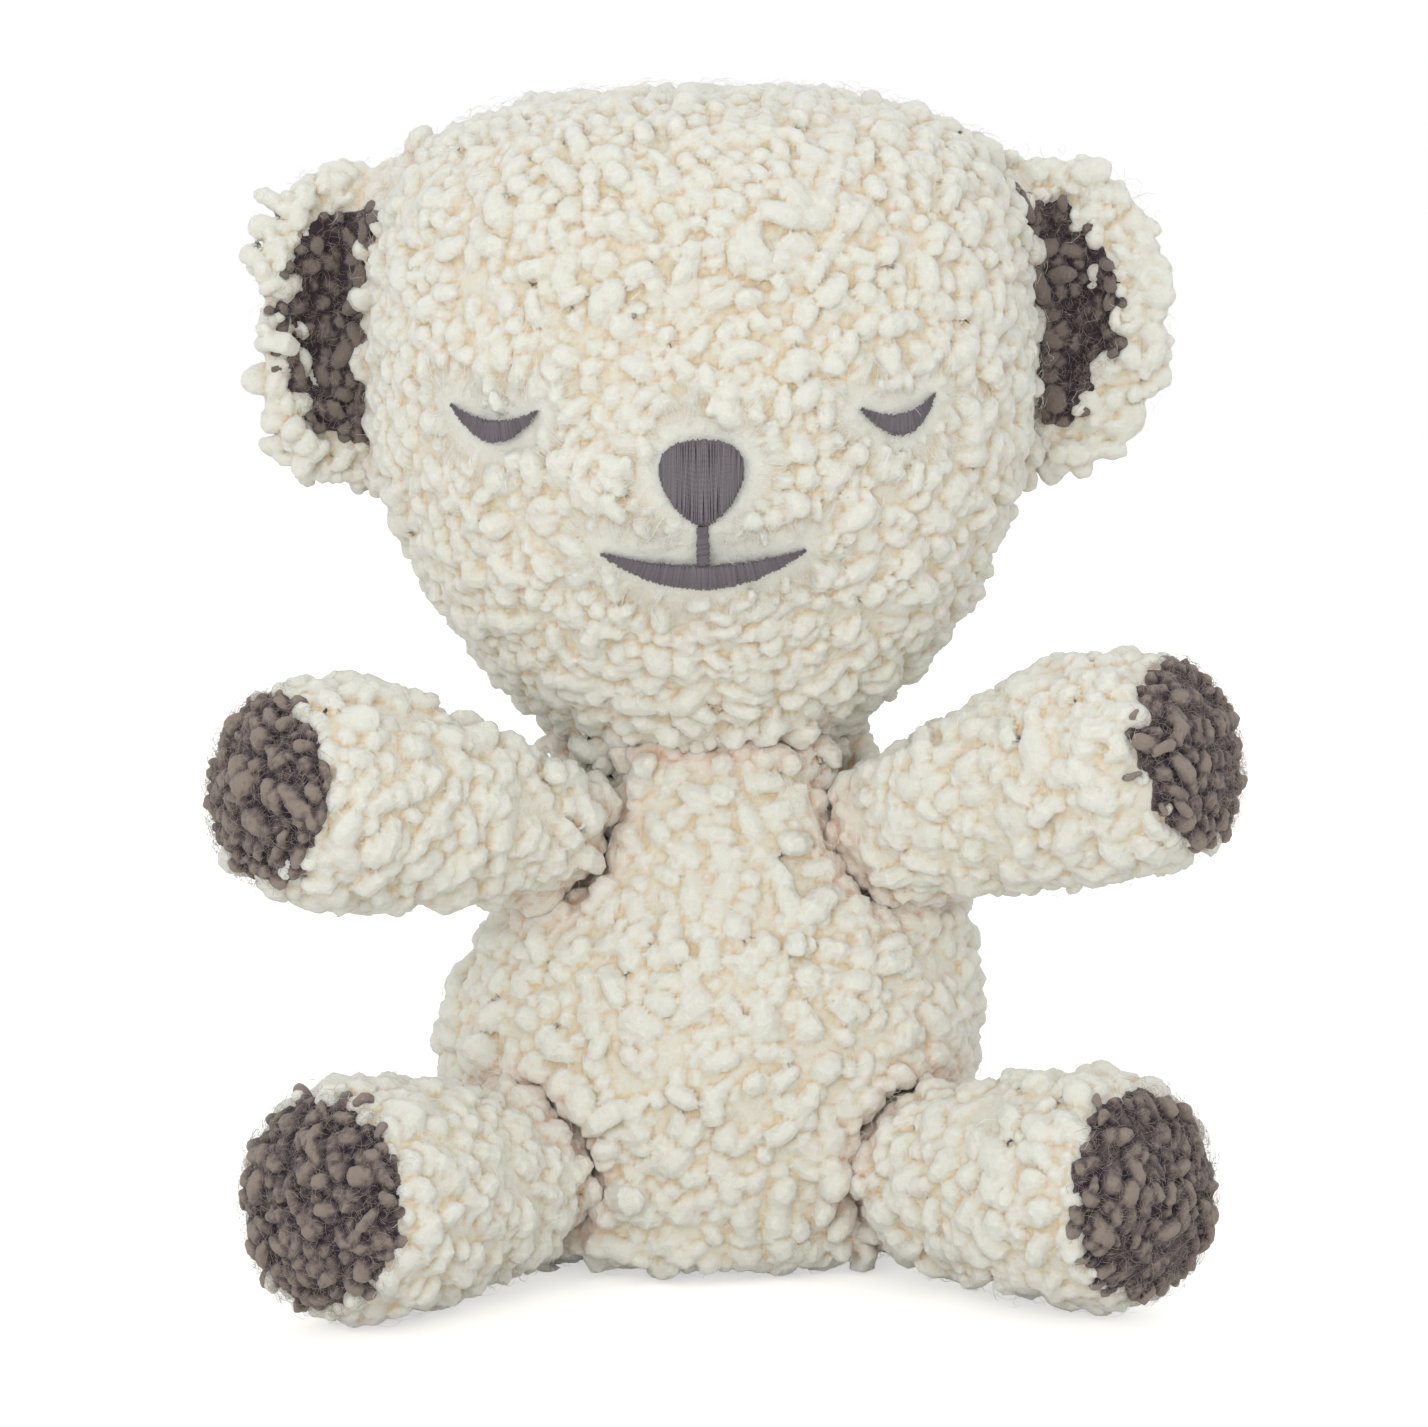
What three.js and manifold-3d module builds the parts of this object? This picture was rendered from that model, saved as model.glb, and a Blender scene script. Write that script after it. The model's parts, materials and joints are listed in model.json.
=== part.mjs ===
// A seated plush bear in curly fleece, about 290 mm tall. Millimetres, +Z up, the bear faces -Y.
// The origin is under the middle of the bear, on the surface that it sits on. Left and right are the
// bear's own, so its left side is at +X.
//
// Each cover is a sewn skin as thick as the fleece, from its knitted backing to the tips of its
// curls, and each form holds its own stuffing. The arms and legs are round where they meet the torso
// and sit in hollows of the same centre, so they turn there as limbs do that are sewn on at a seam.
import * as THREE from "three";
import { mergeVertices } from "three/addons/utils/BufferGeometryUtils.js";
import Module from "manifold-3d";

const wasm = await Module();
wasm.setup();

// Fleece, seams and gaps
const FLEECE = 8; // backing to curl tips
const SEAM_GAP = 0.3; // between pieces that are sewn edge to edge
const FILL_GAP = 0.3; // between a cover and the stuffing inside it
const JOINT_GAP = 0.9; // between a round root and its hollow
const PLAIN_SPARE = 0.4; // how far a form with fewer faces falls short of the fine one
const FLOOR_CUT = 0.5; // how deep the soft underside is pressed flat

// The curls lie in clumps, with furrows between them. Only the torso and the head are broad enough for
// more than one row.
const CLUMP = 18; // from the middle of one clump to the next
const FURROW = 3; // how far a furrow lies below the tips of the curls
const FURROW_AT = 0.62; // a furrow's distance from the middle of a clump, as a share of CLUMP
const FACE_CALM = { halfWidth: 60, low: 44, high: 100, fade: 16 }; // no furrows round the embroidery
const SEAT_CALM = 14; // height at which the furrows of the torso have their full depth

// Torso: a pear that is widest low down
const TORSO_HEIGHT = 138;
const SEAT_HALF_WIDTH = 48;
const HIP_HALF_WIDTH = 63;
const HIP_HEIGHT = 16;
const BELLY_HALF_WIDTH = 71.5;
const BELLY_HEIGHT = 58;
const WAIST_HALF_WIDTH = 62.5;
const WAIST_HEIGHT = 86;
const CHEST_HALF_WIDTH = 48;
const CHEST_HEIGHT = 109;
const COLLAR_HALF_WIDTH = 38;
const COLLAR_HEIGHT = 129;
const TORSO_DEPTH = 114;
const SLOUCH = 4.5; // how far the waist leans out to the bear's left
const SLOUCH_HEIGHT = 90; // where it leans out furthest
const SLOUCH_REACH = 25; // how far above and below it fades away

// Head: broad and square above, narrow at the chin. Each width is measured at a height above the
// head's lowest point.
const HEAD_OVERLAP = 14; // how far the head's lowest point lies below the top of the torso's form
const CHIN_HALF_WIDTH = 35;
const CHIN_RISE = 4;
const JAW_HALF_WIDTH = 63;
const JAW_RISE = 27;
const CHEEK_HALF_WIDTH = 81.5;
const CHEEK_RISE = 67;
const TEMPLE_HALF_WIDTH = 84.5;
const TEMPLE_RISE = 101;
const BROW_HALF_WIDTH = 78.5;
const BROW_RISE = 139;
const CROWN_HALF_WIDTH = 53.5;
const CROWN_RISE = 161;
const HEAD_HEIGHT = 167;
const HEAD_DEPTH = 144;
const HEAD_SQUARENESS = 2.3; // exponent of its rounded plan; 2 is an ellipse
const MUZZLE_REACH = 9; // how far the muzzle stands out of the face
const MUZZLE_HALF_WIDTH = 34;
const MUZZLE_HALF_HEIGHT = 27;
const MUZZLE_RISE = 59;
const HEAD_LEAN = 1; // degrees that the head leans to the bear's right

// Neck
const NECK_RADIUS = 24;
const NECK_RISE = 8; // middle of the neck above the head's lowest point
const HEAD_NOD = 8; // degrees each way, which sets how far the torso's top is hollowed

// Arms and legs: a round root, a swelling tube and a slightly domed pad
const ARM = {
  rootRadius: 25,
  rootStandOff: 12, // from the torso's surface out to the middle of the round root
  midRadius: 29,
  endRadius: 30,
  padRadius: 25,
  padDome: 9,
  length: 84, // from the middle of the root to the middle of the pad
  openingRadius: 13, // where the cover is sewn round the opening in the torso
};
const LEG = {
  rootRadius: 26,
  rootStandOff: 9.5,
  midRadius: 30.5,
  endRadius: 31.3,
  padRadius: 27.2,
  padDome: 9,
  length: 70,
  openingRadius: 14,
};
const MID_AT = 0.4; // share of a limb's length where each radius is reached
const END_AT = 0.72;
const DOME_SHARE = 0.62; // the pad has this share of its radius when it has 0.7 of its dome
const DOME_LEFT = 0.3;
const SEAM_SPARE = 1; // how far a hole starts outside the skin that it goes through
const ARM_SWING = { up: 15, down: 18 }; // degrees
const LEG_SWING = { inward: 14, outward: 16 };
const SHOULDER_HEIGHT = 114;
const ARMS = [
  { side: "left", forward: 32, rise: 15 }, // degrees in front of straight out, and above level
  { side: "right", forward: 39, rise: 9.5 },
];
const LEGS = [
  { side: "left", forward: 43 },
  { side: "right", forward: 51 },
];

// Ears: cupped flaps, sewn into the seams at the sides of the head
const EAR_HEIGHT = 84;
const EAR_THICKNESS = 19;
const EAR_SQUARENESS = 2.5;
const EAR_RISE = 107; // middle of the ear above the head's lowest point
const EAR_SEAM_Y = 11;
const EAR_SINK = 2; // the fold line lies this far inside the side of the head
const EAR_SWING = 12; // degrees each way
const EAR_RIM = 4; // how far the flap's rim stands in front of the lining
const LINING_HEIGHT = 54;
const LINING_THICKNESS = 5;
const EARS = [
  { side: "left", fold: 14, reach: 36, liningReach: 20 }, // fold in degrees forward
  { side: "right", fold: 32, reach: 33, liningReach: 25 },
];

// Embroidery, sunk into the fleece of the face
const THREAD_THICKNESS = 2;
const THREAD_DEPTH = 2.4; // from the curl tips down to the thread
const NOSE_WIDTH = 19.6;
const NOSE_HEIGHT = 19.4;
const NOSE_RISE = 73;
const NOSE_TOP = 0.48; // share of the nose that lies above NOSE_RISE
const PHILTRUM_WIDTH = 2.3;
const MOUTH_WIDTH = 48;
const MOUTH_CORNER_RISE = 56;
const MOUTH_SAG = 8.4; // from the corners down to the lowest point
const MOUTH_THICKNESS = 5.4;
const EYE_RISE = 90;
const EYE_SAG = 8;
const EYE_THICKNESS = 4.6;
const EYES = [
  { side: "left", x: 46, width: 18, tilt: 9 }, // tilt in degrees, outer corner up
  { side: "right", x: -48, width: 21, tilt: 3 },
];

// Faces round and along each form, fewer on the surfaces inside
const FINE = { around: 32, along: 17 };
const PLAIN = { around: 20, along: 10 };
const LIMB_FINE = { around: 22, along: 12 };
const LIMB_PLAIN = { around: 14, along: 8 };
const BALL = { around: 20, along: 12 };
const CURLED = { around: 60, along: 34 };

const rad = THREE.MathUtils.degToRad;
const { smoothstep } = THREE.MathUtils;
const GOLDEN_ANGLE = Math.PI * (3 - Math.sqrt(5));
const V2 = (x, y) => new THREE.Vector2(x, y);
const V3 = (x, y, z) => new THREE.Vector3(x, y, z);
const sign = { left: 1, right: -1 };

const creamFleece = new THREE.MeshStandardMaterial({ color: 0xeee8da, roughness: 0.95 });
const taupeFleece = new THREE.MeshStandardMaterial({ color: 0x6f6157, roughness: 0.95 });
const thread = new THREE.MeshStandardMaterial({ color: 0x5b5055, roughness: 0.5 });
const fibre = new THREE.MeshStandardMaterial({ color: 0xf6f6f4, roughness: 1 });

// Only the places of a geometry's vertices, each vertex once.
function welded(geometry) {
  const bare = geometry.clone();
  bare.deleteAttribute("normal");
  bare.deleteAttribute("uv");
  return mergeVertices(bare, 1e-4);
}

// A geometry as a solid that can be cut and joined.
function solidOf(geometry) {
  const merged = welded(geometry);
  const triVerts = new Uint32Array(merged.index.array);
  const vertProperties = merged.attributes.position.array;
  return new wasm.Manifold(new wasm.Mesh({ numProp: 3, vertProperties, triVerts }));
}

function meshOf(name, solid, material) {
  const cut = solid.getMesh();
  const positions = new Float32Array(cut.numVert * 3);
  for (let i = 0; i < cut.numVert; i++) {
    const from = i * cut.numProp;
    positions.set(cut.vertProperties.subarray(from, from + 3), i * 3);
  }
  const geometry = new THREE.BufferGeometry();
  geometry.setAttribute("position", new THREE.BufferAttribute(positions, 3));
  geometry.setIndex(new THREE.BufferAttribute(new Uint32Array(cut.triVerts), 1));
  geometry.computeVertexNormals();
  const mesh = new THREE.Mesh(geometry, material);
  mesh.name = name;
  return mesh;
}

function groupAt(matrix) {
  const group = new THREE.Group();
  matrix.decompose(group.position, group.quaternion, group.scale);
  return group;
}

const moved = (solid, matrix) => solid.transform(matrix.elements);
const cutBy = (solid, cutters) => cutters.reduce((left, cutter) => left.subtract(cutter), solid);

// Keeps what lies above a level.
const above = (solid, level) => solid.trimByPlane([0, 0, 1], level);

function eachPoint(geometry, change) {
  const place = geometry.attributes.position;
  for (let i = 0; i < place.count; i++) {
    const p = V3().fromBufferAttribute(place, i);
    change(p, i);
    place.setXYZ(i, p.x, p.y, p.z);
  }
  return geometry;
}

// The same closed surface, moved out along its own normals, or in by a negative distance.
function offset(geometry, distance) {
  const grown = welded(geometry);
  grown.computeVertexNormals();
  const normal = grown.attributes.normal;
  return eachPoint(grown, (p, i) => {
    p.addScaledVector(V3().fromBufferAttribute(normal, i), distance);
  });
}

// The factor that turns a circle's radius into that of a rounder square.
function squareness(x, y, exponent) {
  const length = Math.hypot(x, y);
  if (length < 1e-6) {
    return 1;
  }
  return (Math.abs(x / length) ** exponent + Math.abs(y / length) ** exponent) ** (-1 / exponent);
}

// A smooth outline through [radius, height] points, from axis to axis, turned about the Z axis.
function profileThrough(points, detail) {
  const outline = new THREE.SplineCurve(points).getSpacedPoints(detail.along);
  outline[0].x = 0;
  outline.at(-1).x = 0;
  return outline;
}
const revolved = (outline, around) => new THREE.LatheGeometry(outline, around).rotateX(Math.PI / 2);

function radiusAt(outline, height) {
  const next = outline.findIndex((p) => p.y >= height);
  const low = outline[next - 1];
  const high = outline[next];
  return THREE.MathUtils.mapLinear(height, low.y, high.y, low.x, high.x);
}

// Middles of clumps, evenly over a turned form: each takes the same area, a golden angle further round.
function clumpMiddles(points) {
  const outline = new THREE.SplineCurve(points).getSpacedPoints(400);
  const middles = [];
  let area = 0;
  for (let i = 1; i < outline.length; i++) {
    const radius = Math.max(0, outline[i].x);
    area += 2 * Math.PI * radius * outline[i].distanceTo(outline[i - 1]);
    if (area >= CLUMP ** 2) {
      const turn = middles.length * GOLDEN_ANGLE;
      middles.push(V3(radius * Math.cos(turn), radius * Math.sin(turn), outline[i].y));
      area -= CLUMP ** 2;
    }
  }
  return middles;
}

// A smooth form with its furrows pressed in. `shape` puts a clump's middle where the form is, and
// `furrowed` gives the share of the full depth at a place.
function furrow(geometry, points, shape, furrowed) {
  const middles = clumpMiddles(points);
  middles.forEach(shape);
  const pressed = welded(geometry);
  pressed.computeVertexNormals();
  const normal = pressed.attributes.normal;
  return eachPoint(pressed, (p, i) => {
    const nearest = Math.min(...middles.map((middle) => middle.distanceTo(p)));
    const share = Math.min(1, nearest / (CLUMP * FURROW_AT)) ** 2;
    p.addScaledVector(V3().fromBufferAttribute(normal, i), -FURROW * share * furrowed(p));
  });
}

function ball(centre, radius) {
  const sphere = new THREE.SphereGeometry(radius, BALL.around, BALL.along);
  return solidOf(sphere.rotateX(Math.PI / 2).translate(centre.x, centre.y, centre.z));
}

function rod(radius, from, to) {
  const tube = new THREE.CylinderGeometry(radius, radius, to - from, LIMB_PLAIN.around);
  return solidOf(tube.rotateX(Math.PI / 2).translate(0, 0, (from + to) / 2));
}

function turnAbout(centre, axis, degrees) {
  return new THREE.Matrix4()
    .makeTranslation(centre)
    .multiply(new THREE.Matrix4().makeRotationAxis(axis, rad(degrees)))
    .multiply(new THREE.Matrix4().makeTranslation(centre.clone().negate()));
}

// A fixed form as a moving piece meets it at the ends and the middle of its swing.
function metBy(form, centre, axis, least, most) {
  return [least, 0, most].map((angle) => moved(form, turnAbout(centre, axis, -angle)));
}

// Torso

const torsoPoints = [
  V2(0, -FLOOR_CUT),
  V2(SEAT_HALF_WIDTH, 0),
  V2(HIP_HALF_WIDTH, HIP_HEIGHT),
  V2(BELLY_HALF_WIDTH, BELLY_HEIGHT),
  V2(WAIST_HALF_WIDTH, WAIST_HEIGHT),
  V2(CHEST_HALF_WIDTH, CHEST_HEIGHT),
  V2(COLLAR_HALF_WIDTH, COLLAR_HEIGHT),
  V2(0, TORSO_HEIGHT),
];
const torsoDepthShare = TORSO_DEPTH / (2 * BELLY_HALF_WIDTH);

const slouchAt = (height) => SLOUCH * Math.exp(-(((height - SLOUCH_HEIGHT) / SLOUCH_REACH) ** 2));

function shapeTorso(p) {
  p.y *= torsoDepthShare;
  p.x += slouchAt(p.z);
}

function torsoSurface(detail) {
  return eachPoint(revolved(profileThrough(torsoPoints, detail), detail.around), shapeTorso);
}

function curledTorso() {
  const furrowed = (p) => smoothstep(p.z, 0, SEAT_CALM);
  return furrow(torsoSurface(CURLED), torsoPoints, shapeTorso, furrowed);
}

// Out from the torso at a height, in a level direction that lies `forward` degrees in front of
// straight out to the side.
function besideTorso(height, forward, side, standOff) {
  const halfWidth = radiusAt(profileThrough(torsoPoints, FINE), height);
  const halfDepth = halfWidth * torsoDepthShare;
  const across = Math.cos(rad(forward));
  const ahead = Math.sin(rad(forward));
  const reach = Math.hypot(across * halfWidth, ahead * halfDepth);
  const x = (across * halfWidth ** 2) / reach + across * standOff;
  const y = (ahead * halfDepth ** 2) / reach + ahead * standOff;
  return V3(sign[side] * x + slouchAt(height), -y, height);
}

const legRise = THREE.MathUtils.radToDeg(
  Math.asin((LEG.endRadius - LEG.rootRadius) / (END_AT * LEG.length)),
);
for (const arm of ARMS) {
  arm.pivot = besideTorso(SHOULDER_HEIGHT, arm.forward, arm.side, ARM.rootStandOff);
}
for (const leg of LEGS) {
  const height = LEG.rootRadius - FLOOR_CUT;
  leg.pivot = besideTorso(height, leg.forward, leg.side, LEG.rootStandOff);
  leg.rise = legRise;
}

// Head

const headBase = TORSO_HEIGHT - HEAD_OVERLAP;
const headPoints = [
  V2(0, 0),
  V2(CHIN_HALF_WIDTH, CHIN_RISE),
  V2(JAW_HALF_WIDTH, JAW_RISE),
  V2(CHEEK_HALF_WIDTH, CHEEK_RISE),
  V2(TEMPLE_HALF_WIDTH, TEMPLE_RISE),
  V2(BROW_HALF_WIDTH, BROW_RISE),
  V2(CROWN_HALF_WIDTH, CROWN_RISE),
  V2(0, HEAD_HEIGHT),
];
const headDepthShare = HEAD_DEPTH / (2 * TEMPLE_HALF_WIDTH);
const neckPivot = V3(0, 0, headBase + NECK_RISE);

// The plan is round at the neck and grows square above it, and the muzzle stands out in front.
function shapeHead(p) {
  const share = smoothstep(p.z, 0, CHEEK_RISE);
  const square = 1 + share * (squareness(p.x, p.y, HEAD_SQUARENESS) - 1);
  const ahead = Math.max(0, -p.y / Math.max(1, Math.hypot(p.x, p.y)));
  p.x *= square;
  p.y *= square * headDepthShare;
  const across = p.x / MUZZLE_HALF_WIDTH;
  const over = (p.z - MUZZLE_RISE) / MUZZLE_HALF_HEIGHT;
  p.y -= ahead * MUZZLE_REACH * Math.exp(-(across ** 2) - over ** 2);
}

// Everything on the head is modelled above the head's lowest point, then leans about the neck.
const leaning = new THREE.Matrix4()
  .makeRotationY(rad(-HEAD_LEAN))
  .multiply(new THREE.Matrix4().makeTranslation(0, 0, -NECK_RISE));

function headSurface(detail) {
  return eachPoint(revolved(profileThrough(headPoints, detail), detail.around), shapeHead);
}

const headSolid = (distance, detail) =>
  moved(solidOf(offset(headSurface(detail), distance)), leaning);

function curledHead() {
  const { halfWidth, low, high, fade } = FACE_CALM;
  const furrowed = (p) => {
    const beside = Math.max(0, Math.abs(p.x) - halfWidth, low - p.z, p.z - high);
    return p.y > 0 ? 1 : smoothstep(beside, 0, fade);
  };
  return moved(solidOf(furrow(headSurface(CURLED), headPoints, shapeHead, furrowed)), leaning);
}

// The room that the head's underside needs as it turns and nods, from the chin up to the cheeks.
function chinRoom() {
  const spare = V2(0, JOINT_GAP);
  const tip = -rad(HEAD_NOD + HEAD_LEAN);
  const underside = profileThrough(headPoints, PLAIN)
    .filter((p) => p.y <= CHEEK_RISE)
    .map((p) => V2(p.x, p.y - NECK_RISE).rotateAround(V2(0, 0), tip).sub(spare))
    .filter((p) => p.x > CHIN_HALF_WIDTH / 2);
  const floor = Math.min(underside[0].y, -NECK_RISE - JOINT_GAP);
  const outline = [V2(0, floor), V2(underside[0].x, floor), ...underside.slice(1)];
  outline.push(V2(0, underside.at(-1).y));
  return solidOf(revolved(outline, PLAIN.around).translate(0, 0, neckPivot.z));
}

// The torso has a hollow for the root of each limb and one for the neck, and makes way for the chin.
const underChin = chinRoom();
const hollows = [
  ...ARMS.map((arm) => ball(arm.pivot, ARM.rootRadius + JOINT_GAP)),
  ...LEGS.map((leg) => ball(leg.pivot, LEG.rootRadius + JOINT_GAP)),
  ball(neckPivot, NECK_RADIUS + JOINT_GAP),
  underChin,
];

function torso() {
  const outer = above(solidOf(curledTorso()), 0);
  const inner = above(solidOf(offset(torsoSurface(PLAIN), -FLEECE)), FLEECE);
  const filled = above(solidOf(offset(torsoSurface(PLAIN), -FLEECE - FILL_GAP)), FLEECE + FILL_GAP);
  const group = new THREE.Group();
  group.add(meshOf("torso_cover", cutBy(outer.subtract(inner), hollows), creamFleece));
  group.add(meshOf("torso_stuffing", cutBy(filled, hollows), fibre));
  return group;
}

function neck() {
  const group = new THREE.Group();
  group.position.copy(neckPivot);
  group.add(meshOf("neck_stuffing", ball(V3(), NECK_RADIUS), fibre));
  return group;
}

// Limbs, along their own +Z from the middle of the round root

function limbSurface(size, detail) {
  const outline = new THREE.Path();
  outline.absarc(0, 0, size.rootRadius, -Math.PI / 2, 0, false);
  outline.splineThru([
    V2(size.midRadius, size.length * MID_AT),
    V2(size.endRadius, size.length * END_AT),
    V2(size.padRadius, size.length - size.padDome),
    V2(size.padRadius * DOME_SHARE, size.length - size.padDome * DOME_LEFT),
    V2(0, size.length),
  ]);
  const points = outline.getSpacedPoints(detail.along);
  points[0].x = 0;
  points.at(-1).x = 0;
  return revolved(points, detail.around);
}

// Places a limb that points out to one side, turned forward and lifted.
function limbFrame({ pivot, side, forward, rise }) {
  const level = Math.cos(rad(rise));
  const heading = V3(
    sign[side] * Math.cos(rad(forward)) * level,
    -Math.sin(rad(forward)) * level,
    Math.sin(rad(rise)),
  );
  const across = V3().crossVectors(V3(0, 0, 1), heading).normalize();
  const up = V3().crossVectors(heading, across);
  return new THREE.Matrix4().makeBasis(across, up, heading).setPosition(pivot);
}

function limb(placed, size, { name, padName, axis, least, most, onFloor }) {
  const frame = limbFrame(placed);
  const toLimb = frame.clone().invert();
  const grown = solidOf(offset(torsoSurface(PLAIN), JOINT_GAP + PLAIN_SPARE));
  const larger = cutBy(grown, hollows).add(underChin);
  const cutters = metBy(larger, placed.pivot, axis, least, most).map((c) => moved(c, toLimb));
  const floorNormal = V3(0, 0, 1).transformDirection(toLimb).toArray();
  const trimmed = (solid, level) =>
    onFloor ? solid.trimByPlane(floorNormal, level - placed.pivot.z) : solid;

  const root = -size.rootRadius;
  const outer = cutBy(trimmed(solidOf(limbSurface(size, LIMB_FINE)), 0), cutters);
  const inner = trimmed(solidOf(offset(limbSurface(size, LIMB_PLAIN), -FLEECE)), FLEECE);
  const hole = rod(size.openingRadius, root - SEAM_SPARE, root + 2 * FLEECE);
  const skin = outer.subtract(inner).subtract(hole);
  const seam = size.length - size.padDome;

  const depth = FLEECE + FILL_GAP;
  const core = trimmed(solidOf(offset(limbSurface(size, LIMB_PLAIN), -depth)), depth);
  const plug = rod(size.openingRadius - FILL_GAP, root - SEAM_SPARE, root + 2 * FLEECE).intersect(outer);

  const group = groupAt(frame);
  const cover = skin.trimByPlane([0, 0, -1], SEAM_GAP / 2 - seam);
  const pad = skin.trimByPlane([0, 0, 1], SEAM_GAP / 2 + seam);
  group.add(meshOf(`${name}_cover`, cover, creamFleece));
  group.add(meshOf(padName, pad, taupeFleece));
  group.add(meshOf(`${name}_stuffing`, cutBy(core.add(plug), cutters), fibre));
  return group;
}

function arm(placed) {
  const forward = rad(placed.forward);
  const side = sign[placed.side];
  return limb(placed, ARM, {
    name: `${placed.side}_arm`,
    padName: `${placed.side}_paw_pad`,
    axis: V3(-Math.sin(forward), -side * Math.cos(forward), 0),
    least: -ARM_SWING.down,
    most: ARM_SWING.up,
    onFloor: false,
  });
}

function leg(placed) {
  return limb(placed, LEG, {
    name: `${placed.side}_leg`,
    padName: `${placed.side}_foot_pad`,
    axis: V3(0, 0, sign[placed.side]),
    least: -LEG_SWING.inward,
    most: LEG_SWING.outward,
    onFloor: true,
  });
}

// Embroidery outlines, in x across the face and z above the head's lowest point

function crescent(width, sag, thickness) {
  const half = width / 2;
  const outline = new THREE.Shape();
  outline.moveTo(-half, 0);
  outline.quadraticCurveTo(0, -2 * sag, half, 0);
  outline.quadraticCurveTo(0, -2 * (sag - thickness), -half, 0);
  return outline;
}

function noseShape() {
  const half = NOSE_WIDTH / 2;
  const top = NOSE_HEIGHT * NOSE_TOP;
  const tip = top - NOSE_HEIGHT;
  const outline = new THREE.Shape();
  outline.moveTo(0, tip);
  outline.bezierCurveTo(half * 0.35, tip, half, -top * 0.35, half, top * 0.3);
  outline.bezierCurveTo(half, top * 0.85, half * 0.5, top, 0, top);
  outline.bezierCurveTo(-half * 0.5, top, -half, top * 0.85, -half, top * 0.3);
  outline.bezierCurveTo(-half, -top * 0.35, -half * 0.35, tip, 0, tip);
  return outline;
}

function strip(width, low, high) {
  const outline = new THREE.Shape();
  outline.moveTo(-width / 2, low);
  outline.lineTo(width / 2, low);
  outline.lineTo(width / 2, high);
  outline.lineTo(-width / 2, high);
  return outline;
}

// An outline pushed back through the face and leaning with the head, `grow` wider all round.
function throughFace({ outline, x = 0, z = 0, tilt = 0 }, grow) {
  const flat = new THREE.ExtrudeGeometry(outline, {
    depth: HEAD_DEPTH,
    bevelEnabled: grow > 0,
    bevelThickness: 1,
    bevelSize: grow,
    bevelOffset: grow,
    bevelSegments: 1,
    curveSegments: 8,
  });
  flat.rotateZ(rad(tilt)).rotateX(Math.PI / 2).translate(x, 0, z);
  return moved(solidOf(flat), leaning);
}

const noseTip = NOSE_RISE - NOSE_HEIGHT * (1 - NOSE_TOP);
const mouthTop = MOUTH_CORNER_RISE - MOUTH_SAG + MOUTH_THICKNESS;
const philtrum = strip(PHILTRUM_WIDTH, mouthTop + 2 * SEAM_GAP, noseTip - SEAM_GAP);
const stitched = [
  { name: "nose_embroidery", outline: noseShape(), z: NOSE_RISE },
  { name: "philtrum_embroidery", outline: philtrum },
  {
    name: "mouth_embroidery",
    outline: crescent(MOUTH_WIDTH, MOUTH_SAG, MOUTH_THICKNESS),
    z: MOUTH_CORNER_RISE,
  },
  ...EYES.map((eye) => ({
    name: `${eye.side}_eye_embroidery`,
    outline: crescent(eye.width, EYE_SAG, EYE_THICKNESS),
    x: eye.x,
    z: EYE_RISE,
    tilt: sign[eye.side] * eye.tilt,
  })),
];

// Ears, about their fold line, which is their own Z axis. The flap is an ellipsoid with squared
// corners, and the lining lies in its front.

function earBlank(reach, distance) {
  const blank = new THREE.SphereGeometry(1, BALL.around, BALL.along);
  eachPoint(blank, (p) => {
    const square = squareness(p.x, p.y, EAR_SQUARENESS);
    p.x *= (reach + distance) * square;
    p.y *= (EAR_HEIGHT / 2 + distance) * square;
    p.z *= EAR_THICKNESS / 2 + distance;
  });
  return solidOf(blank.rotateX(Math.PI / 2));
}

// The lining's front lies EAR_RIM behind the frontmost line of the flap, which is at -Y.
function liningBlank(reach, distance) {
  const blank = new THREE.SphereGeometry(1, BALL.around, BALL.along).rotateX(Math.PI / 2);
  const depth = EAR_RIM + LINING_THICKNESS;
  blank.scale(reach + distance, depth + distance, LINING_HEIGHT / 2 + distance);
  return solidOf(blank.translate(0, -EAR_THICKNESS / 2, 0));
}

function ear({ side, fold, reach, liningReach }) {
  const halfWidth = radiusAt(profileThrough(headPoints, FINE), EAR_RISE);
  const frame = leaning
    .clone()
    .multiply(
      new THREE.Matrix4().makeTranslation(sign[side] * (halfWidth - EAR_SINK), EAR_SEAM_Y, EAR_RISE),
    )
    .multiply(new THREE.Matrix4().makeRotationZ(-rad(sign[side] * fold)));
  const headHere = moved(headSolid(JOINT_GAP, FINE), frame.clone().invert());
  const cutters = metBy(headHere, V3(), V3(0, 0, 1), -EAR_SWING, EAR_SWING);
  const blank = earBlank(reach, 0);
  const lining = liningBlank(liningReach, -SEAM_GAP).intersect(
    moved(blank, new THREE.Matrix4().makeTranslation(0, EAR_RIM, 0)),
  );
  const group = groupAt(frame);
  const flap = cutBy(blank.subtract(liningBlank(liningReach, 0)), cutters);
  group.add(meshOf(`${side}_ear_flap`, flap, creamFleece));
  group.add(meshOf(`${side}_ear_lining`, cutBy(lining, cutters), taupeFleece));
  return group;
}

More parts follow.
